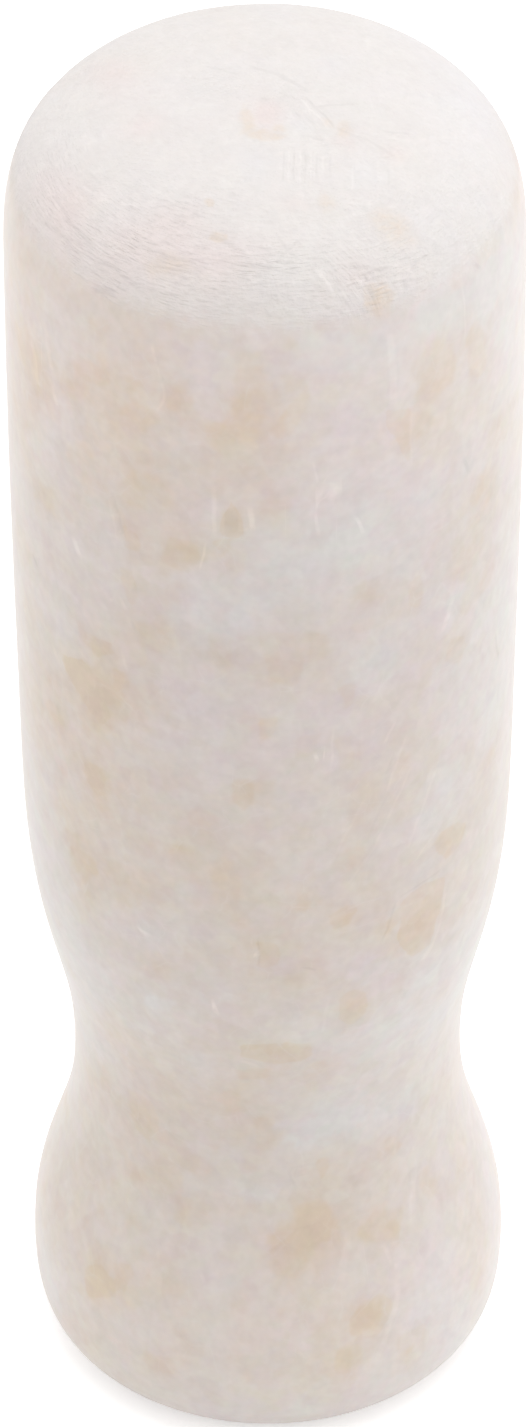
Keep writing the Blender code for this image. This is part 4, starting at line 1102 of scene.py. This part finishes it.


# Colour of the polished body. Broad clouds take over behind, where no part is listed
def bodyColor(paint, texture, chip, zone, rosiness):
    place, z = texture["place"], texture["z"]
    large, middle, small, mottle = (texture[name] for name in ("large", "middle", "small", "mottle"))
    behind = texture["y"].step(*stone["behindRange"])
    broad = paint.clouds(paint.pulled(place, *stone["behindPull"]), stone["behindClouds"], 3.0)
    rosy = paint.clouds(paint.plus(place, stone["behindShift"]), stone["behindRosy"], 2.0)
    share = stone["warmthShares"]
    warmth = stone["warmth"] + zone + chip * fragments["warmth"]
    warmth = warmth.varied(
        (broad, share["broad"] + behind * share["broadBehind"]), (large[0], share["large"]),
        (middle[1], share["middle"]), (small[2], share["small"]), (mottle, share["mottle"]),
    )
    color = paint.node("ShaderNodeValToRGB", {"stops": stone["tones"]}, {"Fac": warmth}, "Color")
    share = stone["rosyShares"]
    rosiness = (rosiness * share["placed"]).varied(
        (rosy, share["broad"] + behind * share["broadBehind"]), (middle[0], share["middle"]),
        (large[1], share["large"]), (small[1], share["small"]),
    )
    share = stone["levelShares"]
    footPaintedLight = stone["footPaintedLight"]
    paler = z.step(*stone["palerRange"], stone["paler"])
    # painted light: the level rises towards the foot, lifting the shade that the floor leaves on the knob
    paler = paler + z.step(*stone["footPaintedLightRange"], -footPaintedLight) + footPaintedLight
    level = stone["level"] + mottle * share["mottle"] + paler
    level = level.varied(
        (middle[2], share["middle"]), (small[0], share["small"]), (large[2], share["large"])
    )
    return paint.toned(color, level, level - rosiness * stone["rosy"], level)


# Pale seams between the pieces, and a few veins
def veinedColor(paint, texture, color):
    seams, veins = stone["seams"], stone["veins"]

    def shown(kind, border):
        inPatches = paint.clouds(texture["place"], kind["patches"], 2.0).step(*kind["range"])
        return (1 - border.step(0.0, kind["width"])) * inPatches * kind["amount"]

    seamMask = shown(seams, paint.borders(texture["crumbled"], stone["middleSize"]))
    veinMask = shown(veins, paint.borders(texture["broken"], veins["size"]))
    return paint.mix(seamMask + veinMask, color, stone["vein"])


# Fine scratches of the ground crown: rings round the shoulder, and short hatching across the top
def crownScratches(paint, texture, worked):
    place, x, y, z = (texture[name] for name in ("place", "x", "y", "z"))
    radius = paint.node("ShaderNodeMath", {"operation": "SQRT"}, {0: x * x + y * y + 0.01})
    turned = paint.node("ShaderNodeMath", {"operation": "ARCTAN2"}, {0: x, 1: 0.0 - y})
    down = radius - z
    around = ground["ringAround"]
    rings = None
    for slant, shift in ground["ringSets"]:
        across = (down + turned * radius * slant) * ground["ringAcross"] + shift
        ring = paint.joined(x.over(radius) * around, y.over(radius) * around, across)
        line = paint.clouds(ring, 1.0, ground["ringDetail"]) - 0.5
        rings = line if rings is None else rings + line
    cosine, sine, strength = paint.attribute("hatching")
    along = (x * cosine + y * sine) * ground["hatchAlong"]
    across = (y * cosine - x * sine) * ground["hatchAcross"]
    hatchPlace = paint.joined(along, across, cosine * ground["hatchTurned"])
    hatch = (paint.clouds(hatchPlace, 1.0, 2.0) - 0.5) * strength
    grain = paint.clouds(paint.along(place, ground["grainScale"]), ground["grainSize"], 3.0) - 0.5
    patchy = paint.clouds(paint.plus(place, ground["patchShift"]), ground["patchSize"], 3.0)
    patchy = patchy.step(*ground["patchRange"])
    evenly, inPatches = ground["ringWorked"]
    rings = rings * (ground["ringShare"] + worked * (evenly + patchy * inPatches))
    return rings + hatch + grain * (ground["grainShare"] + worked * ground["grainWorked"])


# The crown is left rough from grinding, and whiter, with painted shade in its scratches: darker in the
# grooves, paler on the ridges
def crownColor(paint, texture, color, chip, pink, scratch, worked):
    mottle = texture["mottle"]
    tan = chip * (scratch + mottle * ground["tanMottle"] + ground["tanBase"])
    made = paint.mix(pink, ground["color"], ground["pink"])
    made = paint.mix(pink * -1.0, made, ground["blue"])
    made = paint.mix(tan, made, ground["tan"])
    made = paint.mix(ground["stoneShows"], made, color)
    # painted shade: the colour follows the scratches' relief
    shade = (1.0 + scratch * ground["scratchPaintedShade"]).varied(
        (texture["middle"][2], ground["pieceShade"]),
        (mottle, ground["mottleShade"] + worked * ground["mottleWorked"]),
    )
    return paint.toned(made, shade, shade, shade)


# Listed fine lines: pale veins, glints and dark cracks
# The glints are white specks whose sparkle is painted as paler colour: painted highlights
def linedColor(paint, texture, color, aside, amount):
    aside = aside.varied((texture["mottle"], stone["glintWander"]))
    distance = paint.node("ShaderNodeMath", {"operation": "ABSOLUTE"}, {0: aside})
    line = 1 - distance.step(*stone["glintRange"])
    shade = 1 + line * amount * (0.5 + texture["mottle"]) * stone["glint"]
    return paint.toned(color, shade, shade, shade)


def stoneMaterial():
    paint = Paint("marble")
    texture = stoneTextures(paint)
    zone, rosiness, pink = paint.attribute("tones")
    aside, amount, worked = paint.attribute("lines")
    chip = fragmentMask(paint, texture)
    color = bodyColor(paint, texture, chip, zone, rosiness)
    color = veinedColor(paint, texture, color)

    scratch = crownScratches(paint, texture, worked)
    height = texture["z"] + scratch * ground["edgeRagged"] + (texture["mottle"] - 0.5)
    onCrown = height.step(*(groundLine + shift for shift in ground["edge"]))
    upper = texture["z"].step(*(groundLine + shift for shift in ground["full"]), ground["fullShare"])
    whiter = onCrown * upper + onCrown * (1 - ground["fullShare"])
    color = paint.mix(whiter, color, crownColor(paint, texture, color, chip, pink, scratch, worked))
    color = linedColor(paint, texture, color, aside, amount)
    paint.feed(paint.shader.inputs["Base Color"], color)

    polish = stone["polishedRoughness"] + texture["mottle"] * stone["polishedMottle"]
    roughness = polish + onCrown * (ground["roughness"] - stone["polishedRoughness"])
    paint.feed(paint.shader.inputs["Roughness"], roughness)
    grain = paint.clouds(texture["place"], ground["fineGrain"], 2.0)
    relief = (grain * ground["fineGrainShare"] + scratch) * onCrown
    bump = {"Strength": 1.0, "Distance": ground["scratchDepth"], "Height": relief}
    paint.feed(paint.shader.inputs["Normal"], paint.node("ShaderNodeBump", {}, bump, "Normal"))
    paint.feed(paint.shader.inputs["IOR"], stone["indexOfRefraction"])
    paint.feed(paint.shader.inputs["Subsurface Weight"], stone["scattering"])
    paint.feed(paint.shader.inputs["Subsurface Radius"], stone["scatteringRadius"])
    paint.feed(paint.shader.inputs["Subsurface Scale"], stone["scatteringScale"])
    return paint.material


def makePestle():
    piece = addObject("pestle_stone", pestleMesh())
    layFields(piece.data)
    piece.data.materials.append(stoneMaterial())
    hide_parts("pestle")
    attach(piece, "root")
    print("pestle made:", len(piece.data.polygons), "faces")


# Studio: a white floor and surroundings, with one soft lamp above and one at each side
studio = {
    "floorSize": 6.0,
    "floorColor": (0.90, 0.90, 0.90, 1),
    "floorRoughness": 0.9,
    "floorGlow": 0.40,          # for the camera
    "floorGlowReflected": 0.20,
    "shadowGlowReflected": 0.08,   # more of it inside the shadow round the foot: painted light that lifts that shadow where the stone reflects the floor
    "shadowRange": (0.02, 0.07),
    "skyStrength": 0.85,
    "topPower": 6.3,
    "topSize": 1.2,
    "topPlace": (0.10, 0.15, 1.3),
    "rightPower": 2.9,
    "leftPower": 1.15,
    "sideSize": 0.9,
    "sidePlace": (1.1, -0.15, 0.25),
    "aimHeight": 0.065,
}


def makeLamp(name, power, size, place):
    data = bpy.data.lights.new(name, "AREA")
    data.shape = "DISK"
    data.energy = power
    data.size = size
    lamp = addObject(name, data)
    lamp.location = place
    lamp.visible_camera = False
    aim = Vector((0, 0, studio["aimHeight"]))
    lamp.rotation_euler = (aim - Vector(place)).to_track_quat("-Z", "Y").to_euler()


# White for the camera and for mirror rays, with the shadow of the pestle left on it; for mirror rays a
# painted light round the foot lifts that shadow
def floorMaterial():
    paint = Paint("floor_white")
    paint.feed(paint.shader.inputs["Base Color"], studio["floorColor"])
    paint.feed(paint.shader.inputs["Roughness"], studio["floorRoughness"])
    paint.feed(paint.shader.inputs["Specular IOR Level"], 0.0)
    rays = paint.tree.nodes.new("ShaderNodeLightPath")
    kinds = ("Is Camera Ray", "Is Glossy Ray", "Is Transmission Ray")
    seen, glossy, through = (Wire(paint, rays.outputs[kind]) for kind in kinds)
    away = paint.vectors("LENGTH", {0: paint.millimetres()}, "Value")
    # painted light: extra glow for mirror rays inside the shadow round the foot
    outside = (away * millimetre).step(*studio["shadowRange"], studio["shadowGlowReflected"])
    reflected = studio["floorGlowReflected"] + studio["shadowGlowReflected"] - outside
    glow = seen * studio["floorGlow"] + glossy.larger(through) * reflected
    paint.feed(paint.shader.inputs["Emission Color"], paint.joined(glow, glow, glow))
    paint.feed(paint.shader.inputs["Emission Strength"], 1.0)
    return paint.material


def makeFloor():
    plane = bmesh.new()
    bmesh.ops.create_grid(plane, x_segments=1, y_segments=1, size=studio["floorSize"] / 2)
    mesh = bpy.data.meshes.new("floor")
    plane.to_mesh(mesh)
    plane.free()
    floor = addObject("floor", mesh)
    floor.data.materials.append(floorMaterial())


def makeWorld():
    world = bpy.data.worlds.new("studio")
    world.use_nodes = True
    bpy.context.scene.world = world
    tree = world.node_tree
    back = tree.nodes["Background"]
    rays = tree.nodes.new("ShaderNodeLightPath")
    white = tree.nodes.new("ShaderNodeMath")
    white.operation = "MAXIMUM"
    tree.links.new(rays.outputs["Is Camera Ray"], white.inputs[0])
    tree.links.new(rays.outputs["Is Glossy Ray"], white.inputs[1])
    strength = tree.nodes.new("ShaderNodeMapRange")
    strength.inputs["To Min"].default_value = studio["skyStrength"]
    strength.inputs["To Max"].default_value = 1.0
    tree.links.new(white.outputs[0], strength.inputs["Value"])
    tree.links.new(strength.outputs[0], back.inputs["Strength"])
    back.inputs["Color"].default_value = (1, 1, 1, 1)


def makeStudio():
    makeFloor()
    makeWorld()
    makeLamp("top_lamp", studio["topPower"], studio["topSize"], studio["topPlace"])
    makeLamp("right_lamp", studio["rightPower"], studio["sideSize"], studio["sidePlace"])
    x, y, z = studio["sidePlace"]
    makeLamp("left_lamp", studio["leftPower"], studio["sideSize"], (-x, y, z))
    bpy.context.scene.view_settings.view_transform = "Standard"
    print("studio set")


makeCamera()
makePestle()
makeStudio()
